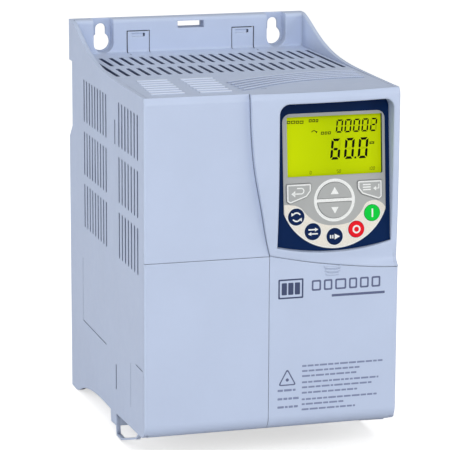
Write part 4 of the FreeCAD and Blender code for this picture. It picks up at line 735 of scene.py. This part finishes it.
def round_corners(points, radii, steps=6):
    """closed outline with an arc at each corner"""
    outline = []
    count = len(points)
    for i in range(count):
        corner, previous, following = (
            Vector((*points[j], 0)) for j in (i, i - 1, (i + 1) % count))
        back, ahead = (previous - corner).normalized(), (following - corner).normalized()
        half = back.angle(ahead) / 2
        reach = min(radii[i] / math.tan(half), 0.49 * (previous - corner).length,
                    0.49 * (following - corner).length)
        radius = reach * math.tan(half)
        centre = corner + (back + ahead).normalized() * (radius / math.sin(half))
        first, last = corner + back * reach - centre, corner + ahead * reach - centre
        start = math.atan2(first.y, first.x)
        sweep = math.atan2(last.y, last.x) - start
        while sweep > math.pi:
            sweep -= 2 * math.pi
        while sweep < -math.pi:
            sweep += 2 * math.pi
        for k in range(steps + 1):
            angle = start + sweep * k / steps
            outline.append((centre.x + radius * math.cos(angle),
                            centre.y + radius * math.sin(angle)))
    return outline


def shrunk(corners, inset):
    """a convex outline of (x, y, corner radius) moved inwards, its corners rounded again"""
    count = len(corners)
    centre_x, centre_y = (sum(corner[j] for corner in corners) / count for j in (0, 1))
    lines = []   # each side as normal x, normal y, distance
    for i in range(count):
        (ax, ay, _), (bx, by, _) = corners[i], corners[(i + 1) % count]
        length = math.hypot(bx - ax, by - ay)
        nx, ny = (ay - by) / length, (bx - ax) / length
        if (centre_x - ax) * nx + (centre_y - ay) * ny < 0:
            nx, ny = -nx, -ny
        lines.append((nx, ny, nx * ax + ny * ay + inset))
    points = []
    for i in range(count):
        a, b = lines[i - 1], lines[i]
        det = a[0] * b[1] - a[1] * b[0]
        points.append(((a[2] * b[1] - a[1] * b[2]) / det, (a[0] * b[2] - a[2] * b[0]) / det))
    return round_corners(points, [max(0.12, corner[2] - inset) for corner in corners])


# ------------------------------------------------------------------------------------------------
# Keypad print, in keypad coordinates
# ------------------------------------------------------------------------------------------------
ROUND_KEYS = {   # centres of the five round keys
    "key_reverse": (13.5, 16.8), "key_local_remote": (22.2, 8.8), "key_jog": (33.9, 5.7),
    "key_stop": (45.6, 8.8), "key_run": (54.3, 16.8),
}
KEY_HOLE_RADIUS = 4.42
KEY_RING_RADIUS = 4.86
ARROWS_X, ARROWS_Y = 34.1, 24.4   # centre of the up and down keys
ARROWS_RADIUS = 9.2
ARROWS_RING_RADIUS = 11.0
ARROWS_HALF_BAR = 1.05            # half the bar between the two keys
ARROWS_GAP = 0.22                 # clearance of the ring round the keys
OVERLAY_TOP = 0.43
KEY_TOP = 0.95
KEY_INK = (KEY_TOP - 0.01, KEY_TOP + 0.02)

# upper edge of the cream field, left to right: across, up
CREAM_EDGE = [
    (7.05, 23.2), (8.4, 23.25), (10.0, 23.1), (13.2, 22.5), (15.9, 21.2), (18.0, 18.9),
    (21.0, 15.9), (24.4, 13.7), (29.0, 12.0), (33.5, 11.5), (38.4, 11.8), (43.3, 13.0),
    (47.0, 16.2), (48.8, 18.4), (50.6, 21.4), (52.4, 22.7), (54.6, 23.25), (57.2, 23.0),
    (59.8, 21.6), (61.55, 19.6),
]
# outlines of the two upper keys: across, up, corner radius
BACK_KEY = [(8.4, 33.7, 0.7), (21.7, 33.7, 0.9), (21.7, 29.7, 2.2),
            (19.3, 26.7, 1.6), (10.1, 23.5, 1.4), (8.4, 24.9, 0.8)]
MENU_KEY = [(46.5, 33.7, 0.9), (59.8, 33.7, 0.7), (59.8, 24.9, 0.8),
            (58.1, 23.5, 1.4), (48.9, 26.7, 1.6), (46.5, 29.7, 2.2)]


def lower_arc(radius, start, left, right):
    """the keypad's lower arc from start degrees to its mirror, clipped to left and right"""
    centre_x, centre_y = 34.3, 29.0
    angles = [math.radians(start - 2 * start * i / 60) for i in range(61)]
    points = [(centre_x + radius * math.sin(a), centre_y - radius * math.cos(a)) for a in angles]
    return [point for point in points if left <= point[0] <= right]


def half_disc(sign):
    """hole for the up key (sign 1) or the down key (sign -1)"""
    radius = ARROWS_RADIUS + ARROWS_GAP
    start = math.degrees(math.asin((ARROWS_HALF_BAR - ARROWS_GAP) / radius))
    return circle(ARROWS_X, ARROWS_Y, radius, 40, sign * start, sign * (180 - start))


def print_overlay():
    field = (OVERLAY_TOP - 0.005, OVERLAY_TOP + 0.02)
    line = (OVERLAY_TOP + 0.012, OVERLAY_TOP + 0.032)
    ring = (OVERLAY_TOP - 0.005, OVERLAY_TOP + 0.025)
    centres = ROUND_KEYS.values()
    overlay = Piece(on_keypad)
    outline = smooth_line(CREAM_EDGE) + lower_arc(29.15, start=68.0, left=7.05, right=61.55)
    overlay.fill([outline] + [circle(x, y, KEY_HOLE_RADIUS) for x, y in centres],
                 field, "ink_cream")
    overlay.fill([band(lower_arc(29.0, start=-66.0, left=7.3, right=61.3), 0.42)],
                 line, "ink_white")
    for x, y in centres:
        overlay.fill([circle(x, y, KEY_RING_RADIUS, 56), circle(x, y, KEY_HOLE_RADIUS, 56)],
                     line, "ink_white")
    overlay.fill([circle(ARROWS_X, ARROWS_Y, ARROWS_RING_RADIUS, 96),
                  half_disc(1), half_disc(-1)], ring, "ink_white")
    # fine lighter line round the display window
    overlay.fill([rounded_box(8.5, 36.5, 61.0, 68.4, 1.1),
                  rounded_box(8.95, 36.95, 60.55, 67.95, 0.7)], field, "film")
    overlay.make("overlay_print", "drive_body", "overlay_film", smooth=False)


def print_key(node, shapes):
    """white print on one key; each shape is an outline followed by its holes"""
    key = Piece(on_keypad)
    for loops in shapes:
        key.fill(loops, KEY_INK, "ink_white")
    key.make("print_" + node, "body_" + node, SLOT_OF_NODE[node], smooth=False)


def key_border(outline):
    return [shrunk(outline, 0.34), shrunk(outline, 0.95)]


def print_keys():
    # an arrow that turns round
    turn = [(12.2, 28.6), (16.2, 28.6)] + circle(16.2, 30.0, 1.4, 12, -90, 90) + [(13.9, 31.4)]
    print_key("key_back", [key_border(BACK_KEY), [band(turn, 0.62)],
                           [[(13.0, 26.9), (10.9, 28.6), (13.0, 30.3)]]])

    # three bars and a bent arrow
    print_key("key_menu", [
        key_border(MENU_KEY),
        *([rounded_box(49.3, y, 53.6, y + 0.62, 0.2)] for y in (31.2, 29.9, 28.6)),
        [band([(58.0, 31.6), (58.0, 29.4), (56.2, 29.4)], 0.6)],
        [[(56.5, 28.2), (54.9, 29.4), (56.5, 30.6)]]])

    print_key("key_up", [[[(31.9, 27.5), (36.3, 27.5), (34.1, 31.2)]]])
    print_key("key_down", [[[(32.1, 20.9), (36.1, 20.9), (34.1, 17.5)]]])

    # two arrows chasing each other round
    x, y = ROUND_KEYS["key_reverse"]
    shapes = []
    for sign, start in ((1, 32), (-1, 212)):
        shapes.append([band(circle(x, y - 0.1 * sign, 2.25, 16, start, start + 108), 0.72)])
        shapes.append([[(x - 2.75 * sign, y + 0.45 * sign), (x - 2.75 * sign, y + 2.3 * sign),
                        (x - 1.0 * sign, y + 1.3 * sign)]])
    print_key("key_reverse", shapes)

    # an arrow to the right above an arrow to the left
    x, y = ROUND_KEYS["key_local_remote"]
    print_key("key_local_remote", [
        [rounded_box(x - 2.5, y + 0.75, x + 1.2, y + 1.45, 0.15)],
        [[(x + 1.0, y + 0.1), (x + 2.8, y + 1.1), (x + 1.0, y + 2.1)]],
        [rounded_box(x - 1.2, y - 1.45, x + 2.5, y - 0.75, 0.15)],
        [[(x - 1.0, y - 0.1), (x - 2.8, y - 1.1), (x - 1.0, y - 2.1)]]])

    # two short bars and an arrowhead
    x, y = ROUND_KEYS["key_jog"]
    print_key("key_jog", [
        [rounded_box(x - 2.7, y - 0.9, x - 2.0, y + 0.9, 0.1)],
        [rounded_box(x - 1.5, y - 0.9, x - 0.8, y + 0.9, 0.1)],
        [[(x - 0.2, y - 1.5), (x + 2.7, y), (x - 0.2, y + 1.5)]]])

    x, y = ROUND_KEYS["key_stop"]
    print_key("key_stop", [[circle(x, y, 2.15, 40), circle(x, y, 1.3, 40)]])
    x, y = ROUND_KEYS["key_run"]
    print_key("key_run", [[rounded_box(x - 0.42, y - 2.25, x + 0.42, y + 2.25, 0.3)]])


# ------------------------------------------------------------------------------------------------
# Display: lit segments, faint unlit ones, small marks, in keypad coordinates
# ------------------------------------------------------------------------------------------------
LIT_HEIGHTS = (-2.46, -2.43)
GHOST_HEIGHTS = (-2.46, -2.445)
SEGMENTS = {"0": "abcdef", "1": "bc", "2": "abged", "3": "abgcd", "4": "fgbc", "5": "afgcd",
            "6": "afedcg", "7": "abc", "8": "abcdefg", "9": "abcdfg"}
# small status marks: left, right, middle height
STATUS_MARKS = [
    (10.2, 12.0, 64.9), (12.4, 14.6, 64.9), (15.0, 16.6, 64.8), (17.0, 19.0, 64.7),
    (21.9, 23.4, 65.2), (23.8, 25.2, 65.2), (25.6, 26.9, 65.1), (28.3, 29.9, 58.6),
    (30.3, 31.7, 58.6), (32.1, 33.6, 58.6),
]


def segment_outlines(width, height, bar, gap):
    """the seven segments of a digit, with bars of the given thickness and gaps between them"""
    middle, half = height / 2, bar / 2
    tip, inner = bar * 0.35 + gap, bar + gap                # ends of the outer and inner edges
    point, waist = bar * 0.9 + gap * 0.5, bar * 1.3 + gap   # ends of the middle bar
    nick, slope, shoulder = gap * 0.6, bar * 0.55 + gap * 0.5, bar * 0.4 + gap
    return {
        "a": [(tip, height), (width - tip, height),
              (width - inner, height - bar), (inner, height - bar)],
        "d": [(inner, bar), (width - inner, bar), (width - tip, 0), (tip, 0)],
        "g": [(point, middle), (waist, middle + half), (width - waist, middle + half),
              (width - point, middle), (width - waist, middle - half), (waist, middle - half)],
        "f": [(0, height - tip), (bar, height - inner), (bar, middle + slope),
              (half, middle + nick), (0, middle + shoulder)],
        "e": [(0, tip), (0, middle - shoulder), (half, middle - nick),
              (bar, middle - slope), (bar, inner)],
        "b": [(width, height - tip), (width, middle + shoulder), (width - half, middle + nick),
              (width - bar, middle + slope), (width - bar, height - inner)],
        "c": [(width, tip), (width - bar, inner), (width - bar, middle - slope),
              (width - half, middle - nick), (width, middle - shoulder)],
    }


def print_digits(piece, text, x, y, pitch, size, slant, gap, lit="segment", ghost=True):
    """a row of slanted digits; size is width, height and bar thickness"""
    for i, digit in enumerate(text):
        left = x + pitch * i
        for name, points in segment_outlines(*size, gap).items():
            outline = [(left + a + slant * b, y + b) for a, b in points]
            if name in SEGMENTS[digit]:
                piece.fill([outline], LIT_HEIGHTS, lit)
            elif ghost:
                piece.fill([outline], GHOST_HEIGHTS, "ghost")


def print_display():
    lcd = Piece(on_keypad)
    print_digits(lcd, "00002", 36.2, 58.4, pitch=4.6, size=(3.6, 6.8, 0.84), slant=0.11, gap=0.12)
    print_digits(lcd, "600", 33.0, 44.8, pitch=7.4, size=(5.15, 10.7, 1.30), slant=0.10, gap=0.17)
    lcd.fill([rounded_box(46.15, 44.8, 47.15, 45.85, 0.15)], LIT_HEIGHTS, "segment")
    # slanted frames where the display shows words
    for x0, x1, y in STATUS_MARKS:
        lcd.fill([[(x0, y - 0.75), (x1, y - 0.75), (x1 + 0.15, y + 0.75), (x0 + 0.15, y + 0.75)],
                  [(x0 + 0.42, y - 0.35), (x1 - 0.36, y - 0.35),
                   (x1 - 0.28, y + 0.35), (x0 + 0.5, y + 0.35)]], LIT_HEIGHTS, "segment_soft")
    # a round arrow
    lcd.fill([band(circle(24.6, 58.6, 1.5, 12, 150, 40), 0.42)], LIT_HEIGHTS, "segment")
    lcd.fill([[(25.4, 59.9), (26.5, 59.6), (25.9, 58.6)]], LIT_HEIGHTS, "segment")
    # a slanted frame right of the large digits
    lcd.fill([[(54.4, 51.9), (56.9, 51.9), (57.0, 53.1), (54.5, 53.1)],
              [(54.9, 52.3), (56.4, 52.3), (56.5, 52.7), (55.0, 52.7)]],
             LIT_HEIGHTS, "segment_soft")
    # scale numbers along the bottom
    for text, x, y in (("0", 21.9, 37.9), ("50", 36.5, 37.9), ("100", 53.6, 38.5)):
        print_digits(lcd, text, x, y, pitch=1.25, size=(0.95, 1.7, 0.22), slant=0.08, gap=0.05,
                     lit="segment_soft", ghost=False)
    lcd.make("display_segments", "drive_body", "display_glass", smooth=False)


# ------------------------------------------------------------------------------------------------
# Print on the right-hand cover: plain bars and shapes only, in x and z on the flat front
# ------------------------------------------------------------------------------------------------
COVER_INK = (-0.01, 0.03)
FRAME_WIDTHS = (5.6, 5.2, 6.6, 5.0, 5.4, 5.4)
# rows of bars: z, right end
NARROW_ROWS = [(-69.9, 13.6), (-74.4, 14.2), (-78.8, 13.8)]
WIDE_ROWS = [(-57.6, 60.0), (-60.3, 47.6), (-63.0, 45.8), (-66.3, 57.6), (-69.0, 55.0),
             (-71.9, 46.0), (-75.4, 57.0), (-78.0, 39.2), (-80.8, 45.0)]


def print_bar_rows(cover, left, rows, height, first_seed):
    """rows of bars of random length in place of lines of text"""
    for seed, (z, right) in enumerate(rows, first_seed):
        rng = random.Random(seed)
        x = left
        while x < right - 0.8:
            width = min(rng.uniform(1.4, 4.6), right - x)
            cover.fill([rounded_box(x, z - height / 2, x + width, z + height / 2, 0.18, 2)],
                       COVER_INK, "ink_pale")
            x += width + 0.55


def print_cover():
    cover = Piece(on_front)
    # a frame with three blocks, then a row of six frames over a long bar
    cover.fill([rounded_box(2.7, -21.5, 16.1, -11.2, 0.5),
                rounded_box(3.5, -20.7, 15.3, -12.0, 0.3)], COVER_INK, "ink_navy")
    for k in range(3):
        cover.fill([rounded_box(4.5 + 3.5 * k, -19.5, 7.3 + 3.5 * k, -13.2, 0.4)],
                   COVER_INK, "ink_navy")
    x = 20.6
    for width in FRAME_WIDTHS:
        cover.fill([rounded_box(x, -18.2, x + width - 0.6, -12.6, 0.8),
                    rounded_box(x + 0.9, -17.3, x + width - 1.5, -13.5, 0.4)],
                   COVER_INK, "ink_slate")
        x += width + 0.9
    cover.fill([rounded_box(31.4, -21.9, 60.2, -20.6, 0.3)], COVER_INK, "ink_slate")
    # triangle with a dot
    cover.fill([round_corners([(7.95, -58.2), (3.0, -67.4), (12.9, -67.4)], [0.8] * 3),
                round_corners([(7.95, -59.6), (4.1, -66.75), (11.8, -66.75)], [0.4] * 3)],
               COVER_INK, "ink_slate")
    cover.fill([circle(7.95, -64.4, 0.85, 20)], COVER_INK, "ink_slate")
    print_bar_rows(cover, 2.8, NARROW_ROWS, height=1.15, first_seed=40)
    print_bar_rows(cover, 15.9, WIDE_ROWS, height=0.95, first_seed=60)
    cover.make("cover_print", "right_cover", "housing_plastic", smooth=False)


# ------------------------------------------------------------------------------------------------
# Board components
# ------------------------------------------------------------------------------------------------
POWER_Y, CONTROL_Y, IO_Y = -84.62, -136.02, -142.62   # the boards' faces, all towards -Y
CAPACITORS = [(x, z) for x in (-44.0, -15.5) for z in (23.2, -2.6)]
CHOKE_X, CHOKE_Y, CHOKE_Z = 36, -100.0, 22
TRANSFORMER_X, TRANSFORMER_Z = 37, -13
PIN_ROWS = (-26.0, 6.0)                               # z of the module's two rows of pins
CHIPS = [(20, 36, 40, 56, 3.3), (44, 54, 20, 30, 3.0)]  # x0, x1, z0, z1, height
CHIP_BASE_Y = -134.4

# size of each kind of small part: length, width, height
PART_SIZES = {
    "R": (2.1, 1.25, 0.5),   # dark chip with two metal ends
    "C": (2.1, 1.3, 1.0),    # tan chip with two metal ends
    "Q": (3.0, 2.6, 1.1),    # block on three legs
    "S": (5.2, 6.2, 1.6),    # block on eight legs
    "E": (6.6, 6.6, 6.2),    # round can on a square foot
    "D": (4.6, 2.6, 2.1),    # block with a tab at each end
}
LOW_PARTS = "RRRRCCCCQQS"
ALL_PARTS = "RRRRCCCCQQSSED"


def around(x, z, half):
    return x - half, x + half, z - half, z + half


def draw_part(piece, board_y, kind, spans, height, turned):
    """one small part filling its spans in x and z"""
    (a, b), (c, d) = spans[::-1] if turned else spans   # along and across the part

    def block(along, across, near, far, key, chamfer=0.0):
        """near and far are heights above the board"""
        xs, zs = (across, along) if turned else (along, across)
        piece.box(*xs, board_y - near, board_y - far, *zs, key, chamfer)

    if kind in "RC":
        body = "chip_dark" if kind == "R" else "ceramic"
        block((a + 0.4, b - 0.4), (c, d), 0, height, body, 0.08)
        for end in ((a, a + 0.42), (b - 0.42, b)):
            block(end, (c - 0.02, d + 0.02), 0, height + 0.02, "tin", 0.06)
    elif kind == "Q":
        block((a, b), (c + 0.6, d - 0.6), 0.1, height, "chip_dark", 0.12)
        pitch = 0.8 if turned else 0.9
        for step in (-1, 0, 1):
            leg = (a + b) / 2 + step * pitch
            across = (c, c + 0.7) if step == 0 else (d - 0.7, d)
            block((leg - 0.2, leg + 0.2), across, 0, 0.35, "tin")
    elif kind == "S":
        block((a, b), (c + 1.0, d - 1.0), 0.15, height, "chip_dark", 0.15)
        for k in range(4):
            leg = a + 0.7 + k * (b - a - 1.4) / 3
            for across in ((c, c + 1.1), (d - 1.1, d)):
                block((leg - 0.22, leg + 0.22), across, 0, 0.5, "tin")
    elif kind == "E":
        x, z = (sum(span) / 2 for span in spans)
        block((a, b), (c, d), 0, 0.9, "parts", 0.3)
        piece.cylinder((x, board_y - 0.9, z), (0, -1, 0), 3.1, 5.2, "tin", 28, bevel=0.35)
        piece.box(x - 3.0, x - 1.6, board_y - 6.1, board_y - 6.13, z - 1.6, z + 1.6, "chip_dark")
    elif kind == "D":
        block((a, b), (c, d), 0.2, height, "chip_dark", 0.2)
        for end in ((a - 0.5, a + 0.3), (b - 0.3, b + 0.5)):
            block(end, (c + 0.6, d - 0.6), 0, 0.7, "tin")


def scatter_parts(board_y, area, keep_out, count, seed, kinds):
    """small parts at random free places; area and keep_out entries are x0, x1, z0, z1"""
    rng = random.Random(seed)
    piece = Piece()
    used = list(keep_out)
    x0, x1, z0, z1 = area
    gap = 0.5

    def free(a, b, c, d):
        clear = all(b + gap < other[0] or a - gap > other[1]
                    or d + gap < other[2] or c - gap > other[3] for other in used)
        return clear and a > x0 and b < x1 and c > z0 and d < z1

    for _ in range(count):
        kind = rng.choice(kinds)
        turned = rng.random() < 0.5
        width, depth, height = PART_SIZES[kind]
        if turned:
            width, depth = depth, width
        for _attempt in range(14):
            x, z = rng.uniform(x0 + 3, x1 - 3), rng.uniform(z0 + 3, z1 - 3)
            xs, zs = (x - width / 2, x + width / 2), (z - depth / 2, z + depth / 2)
            if free(*xs, *zs):
                used.append((*xs, *zs))
                draw_part(piece, board_y, kind, (xs, zs), height, turned)
                break
    return piece


def build_power_board():
    keep_out = [around(x, z, 14) for x, z in CAPACITORS]
    keep_out += [around(CHOKE_X, CHOKE_Z, 14.5), around(TRANSFORMER_X, TRANSFORMER_Z, 14)]
    keep_out += [(11, 29, -61, -35), (-61, -4, -87, -64)]   # relay, terminals
    keep_out += [(-26, 27, z - 2, z + 2) for z in PIN_ROWS]
    keep_out += [around(x, z, 4) for x, z in ((-50, -61), (50, -79), (-50, 38), (50, 38))]
    parts = scatter_parts(POWER_Y, (-60.5, 60.5, -84.5, 43.0), keep_out, count=190, seed=11,
                          kinds=ALL_PARTS)
    # solder cones where the module's pins come through
    for i in range(13):
        x = -24 + 4.0 * i
        for z in PIN_ROWS:
            if (z > 0 and x < 0) or (z < 0 and x > 21):
                continue
            parts.cylinder((x, POWER_Y, z), (0, -1, 0), 1.15, 0.7, "tin", 14,
                           far_radius=0.62, hole=0.55)
    # film capacitors, then a row of three varistors on two leads each
    for x, z, key in ((-50, -30, "tape"), (-36, -30, "tape"),
                      (-22, -40, "relay"), (-6, -44, "relay")):
        parts.box(x - 5.5, x + 5.5, POWER_Y, -97.0, z - 3.6, z + 3.6, key, 0.5)
    for x in (36.0, 46.0, 56.0):
        parts.cylinder((x, -90.5, -46.0), (0, 0, 1), 5.2, 3.6, "blue_wire", 26, bevel=0.6)
        for lead_x in (x - 2.4, x + 2.4):
            parts.tube([(lead_x, -84.7, -44.2), (lead_x, -88.0, -44.2)], 0.35, "tin", 8)
    parts.make("power_board_parts", "drive_body", "board_parts")


def build_control_board():
    keep_out = [(x0 - 1, x1 + 1, z0 - 1, z1 + 1) for x0, x1, z0, z1, _ in CHIPS]
    keep_out += [(3, 13, 19, 35), (5, 15, 47, 67), (47, 61, 43, 61), (23, 45, 29.5, 37)]
    keep_out += [around(x, z, 3.4) for x in (0.5, 58.5) for z in (72.0, -8.0)]
    parts = scatter_parts(CONTROL_Y, (-2.5, 61.0, -11.0, 77.0), keep_out, count=150, seed=23,
                          kinds=LOW_PARTS)
    # leads round the two large chips, and a dot on each
    lead_ys = (CONTROL_Y, -136.5)
    for x0, x1, z0, z1, height in CHIPS:
        count = int((x1 - x0 - 2) / 0.8)
        for i in range(count):
            x = x0 + 1.2 + i * (x1 - x0 - 2.4) / (count - 1)
            z = z0 + 1.2 + i * (z1 - z0 - 2.4) / (count - 1)
            for low, high in ((z0 - 1.1, z0 + 0.02), (z1 - 0.02, z1 + 1.1)):
                parts.box(x - 0.16, x + 0.16, *lead_ys, low, high, "tin")
            for low, high in ((x0 - 1.1, x0 + 0.02), (x1 - 0.02, x1 + 1.1)):
                parts.box(low, high, *lead_ys, z - 0.16, z + 0.16, "tin")
        parts.cylinder((x0 + 1.6, CHIP_BASE_Y - height, z1 - 1.6), (0, -1, 0), 0.55, 0.03,
                       "ink_slate", 16)
    parts.make("control_board_parts", "drive_body", "board_parts")


def build_io_board():
    parts = scatter_parts(IO_Y, (7.5, 58.0, -66.0, -19.0), [(19, 47, -37, -29)], count=70,
                          seed=31, kinds=LOW_PARTS)
    parts.make("io_board_parts", "drive_body", "board_parts")


def build_choke_windings():
    """two windings of enamelled wire on the ring"""
    ring_radius, loop_radius = 9.5, 4.75
    turns, steps = 15, 14
    windings = Piece()
    for start in (15, 195):
        path = []
        for k in range(turns * steps + 1):
            along = math.radians(start + 150.0 * k / (turns * steps))
            angle = 2 * math.pi * k / steps
            radius = ring_radius + loop_radius * math.cos(angle)
            path.append((CHOKE_X + radius * math.cos(along),
                         CHOKE_Y + loop_radius * math.sin(angle),
                         CHOKE_Z + radius * math.sin(along)))
        windings.tube(path, 0.48, "copper", 8)
    windings.make("choke_windings", "drive_body", "choke_core")


def build_capacitor_dressing():
    """bare aluminium tops with a scored cross drawn as dark strips of painted shade, and a light polarity stripe down
    the sleeve
    """
    steps = 8
    stripe_radius = 12.53
    stripe_faces = [(2 * k, 2 * k + 2, 2 * k + 3, 2 * k + 1) for k in range(steps)]
    dressing = Piece()
    for x, z in CAPACITORS:
        dressing.cylinder((x, -122.60, z), (0, -1, 0), 10.4, 0.10, "alu", 48, bevel=0.03)
        # the cross's grooves are dark strips laid on the aluminium: painted shade
        for sign in (-1, 1):
            near, far = sign * 0.14, sign * 0.34
            dressing.box(x - 7.6, x + 7.6, -122.72, -122.66, z + near, z + far, "chip_dark")
            dressing.box(x + near, x + far, -122.72, -122.66, z - 7.6, z + 7.6, "chip_dark")
        stripe = [(stripe_x, y, stripe_z)
                  for stripe_x, stripe_z in circle(x, z, stripe_radius, steps, 200, 226)
                  for y in (-92.0, -121.0)]
        dressing.add(stripe, stripe_faces, "grey_wire")
    dressing.make("capacitor_dressing", "drive_body", "capacitor_sleeve")


def build_transformer_dressing():
    """tape over the windings, and the transformer's pins"""
    dressing = Piece()
    for z in (-24.5, -5.7):
        dressing.box(26.6, 47.4, -90.2, -102.6, z, z + 4.2, "tape", 0.5)
    for i in range(5):
        for z in (-25.2, -0.8):
            dressing.box(26.5 + 4.8 * i, 27.3 + 4.8 * i, -88.05, -89.6, z - 0.4, z + 0.4,
                         "tin", 0.1)
    dressing.make("transformer_dressing", "drive_body", "board_parts")


def build_terminal_wires():
    """six wires between the terminals' back row and the power board above it"""
    wires = Piece()
    colours = ("grey_wire", "grey_wire", "rubber", "rubber", "red_wire", "blue_wire")
    for i, key in enumerate(colours):
        low, high = -55.0 + 9.0 * i, -50.0 + 6.4 * i   # x at the lower and the upper end
        wires.tube([(low, -97.0, -66.2), (low, -98.0, -61.0),
                    (low + (high - low) * 0.3, -98.5, -57.0),
                    (low + (high - low) * 0.7, -94.5, -53.4),
                    (high, -89.0, -51.8), (high, -84.7, -51.4)], 1.25, key, 12)
    wires.make("terminal_wires", "drive_body", "lead_insulation")


def build_flat_cable():
    """an arched cable of fourteen cores from the power board forwards, with a plug at each end"""
    cable = Piece()
    for k in range(14):
        path = []
        for j in range(17):
            t = j / 16.0
            path.append((47.5 + 0.95 * k, -86.5 - 43.0 * t,
                         -34.0 + 14.0 * math.sin(math.pi * t) - 3.0 * t))
        cable.tube(path, 0.5, "grey_wire" if k else "red_wire", 6)
    cable.box(46.6, 60.8, -84.65, -88.2, -35.6, -32.4, "header", 0.3)
    cable.box(46.6, 60.8, -127.0, -128.25, -38.8, -35.2, "header", 0.2)
    cable.make("flat_cable", "drive_body", "lead_insulation")


def build_rotor_foils():
    """a plain foil disc on each fan's hub"""
    for rotor, x in (("left_rotor", -30.6), ("right_rotor", 30.6)):
        foil = Piece()
        foil.cylinder((x, -59.0, 78.92), (0, 0, 1), 10.6, 0.06, "tin", 56, bevel=0.02)
        foil.cylinder((x, -59.0, 78.95), (0, 0, 1), 9.2, 0.05, "ink_white", 56, bevel=0.01,
                      hole=3.4)
        foil.make(rotor + "_foil", rotor, "fan_plastic")


# ------------------------------------------------------------------------------------------------
# Stage, in metres: pale floor that curves up behind, soft studio light, the camera
# ------------------------------------------------------------------------------------------------
FLOOR_Z = -0.1068
FLOOR_HALF_WIDTH = 7.0
FLOOR_FRONT_Y = -6.0
BEND_START_Y = 1.2
BEND_RADIUS = 1.2
WALL_TOP_Z = 6.0
LIGHT_TARGET = Vector((0, -0.08, 0))


def studio_paper():
    """matt paper that looks brighter to the camera than it is to the light it bounces"""
    mat = Shader("studio_paper")
    white = mat.mix(mat.spread(mat.noise(scale=0.004, detail=3.0)),
                    (0.86, 0.86, 0.86), (0.90, 0.90, 0.90))
    seen = mat.node("ShaderNodeLightPath").outputs["Is Camera Ray"]
    mat.surface({
        "Roughness": mat.spread(mat.noise(scale=0.5), low=0.78, high=0.88),
        "Normal": mat.bump(mat.noise(scale=1.2, detail=3.0), strength=0.04, distance_mm=0.2),
        "Emission Color": (1, 1, 1, 1),
        "Emission Strength": mat.times(seen, 0.60),
        "Base Color": mat.mix(seen, (0.62, 0.62, 0.63), white)})
    return mat.material


def build_floor():
    profile = [(FLOOR_FRONT_Y, FLOOR_Z), (BEND_START_Y, FLOOR_Z)]   # y, z
    for degrees in range(6, 91, 6):
        angle = math.radians(degrees)
        profile.append((BEND_START_Y + BEND_RADIUS * math.sin(angle),
                        FLOOR_Z + BEND_RADIUS - BEND_RADIUS * math.cos(angle)))
    profile.append((BEND_START_Y + BEND_RADIUS, WALL_TOP_Z))
    verts = [(x, y, z) for y, z in profile for x in (-FLOOR_HALF_WIDTH, FLOOR_HALF_WIDTH)]
    faces = [(2 * i, 2 * i + 1, 2 * i + 3, 2 * i + 2) for i in range(len(profile) - 1)]
    paper = studio_paper()
    mesh = bpy.data.meshes.new("floor")
    mesh.from_pydata(verts, [], faces)
    mesh.materials.append(paper)
    mesh.polygons.foreach_set("use_smooth", [True] * len(mesh.polygons))
    floor = bpy.data.objects.new("floor", mesh)
    bpy.context.scene.collection.objects.link(floor)
    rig.stage(floor)


def aim(thing, location, target):
    """place a light or camera and return the turn that makes it look at the target"""
    thing.location = location
    thing.rotation_mode = "QUATERNION"
    return (Vector(target) - Vector(location)).to_track_quat("-Z", "Y")


def add_area_light(name, location, size, energy):
    light = bpy.data.lights.new(name, "AREA")
    light.shape, light.energy = "RECTANGLE", energy
    light.size, light.size_y = size
    lamp = bpy.data.objects.new(name, light)
    lamp.rotation_quaternion = aim(lamp, location, LIGHT_TARGET)
    bpy.context.scene.collection.objects.link(lamp)
    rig.stage(lamp)


def light_stage():
    add_area_light("key_light", location=(-0.55, -1.75, 0.85), size=(1.1, 1.0), energy=14.8)
    add_area_light("fill_right", location=(1.5, -1.1, 0.35), size=(1.2, 1.4), energy=13.0)
    add_area_light("fill_left", location=(-1.7, -0.1, 0.35), size=(1.2, 1.4), energy=13.0)
    add_area_light("top_light", location=(0.15, 0.25, 1.7), size=(0.9, 0.9), energy=3.4)
    world = bpy.data.worlds.new("world")
    world.use_nodes = True
    background = world.node_tree.nodes["Background"]
    background.inputs["Color"].default_value = (1.0, 1.0, 1.0, 1)
    background.inputs["Strength"].default_value = 0.45
    bpy.context.scene.world = world


def add_camera():
    lens = bpy.data.cameras.new("camera")
    lens.sensor_width = 36.0
    lens.lens = 195.26
    lens.shift_x, lens.shift_y = 0.0435, 0.0080
    lens.clip_start, lens.clip_end = 0.05, 50.0
    camera = bpy.data.objects.new("camera", lens)
    roll = Quaternion((0, 0, 1), math.radians(0.132))
    turn = aim(camera, location=Vector((-365.5, -1312.2, 281.9)) * MM,
               target=Vector((-11.49, -80.0, -1.85)) * MM)
    camera.rotation_quaternion = turn @ roll
    bpy.context.scene.collection.objects.link(camera)
    bpy.context.scene.camera = camera


def set_view():
    view = bpy.context.scene.view_settings
    view.view_transform = "Standard"
    view.look = "None"
    view.exposure = 0.0
    view.gamma = 1.0


dress_cad_pieces()
print_overlay()
print_keys()
print_display()
print_cover()
build_power_board()
build_control_board()
build_io_board()
build_choke_windings()
build_capacitor_dressing()
build_transformer_dressing()
build_terminal_wires()
build_flat_cable()
build_rotor_foils()
build_floor()
light_stage()
add_camera()
set_view()

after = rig.bounds()
with open("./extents.json", "w") as handle:
    json.dump({"cad": [list(before[0]), list(before[1])],
               "visual": [list(after[0]), list(after[1])]}, handle)
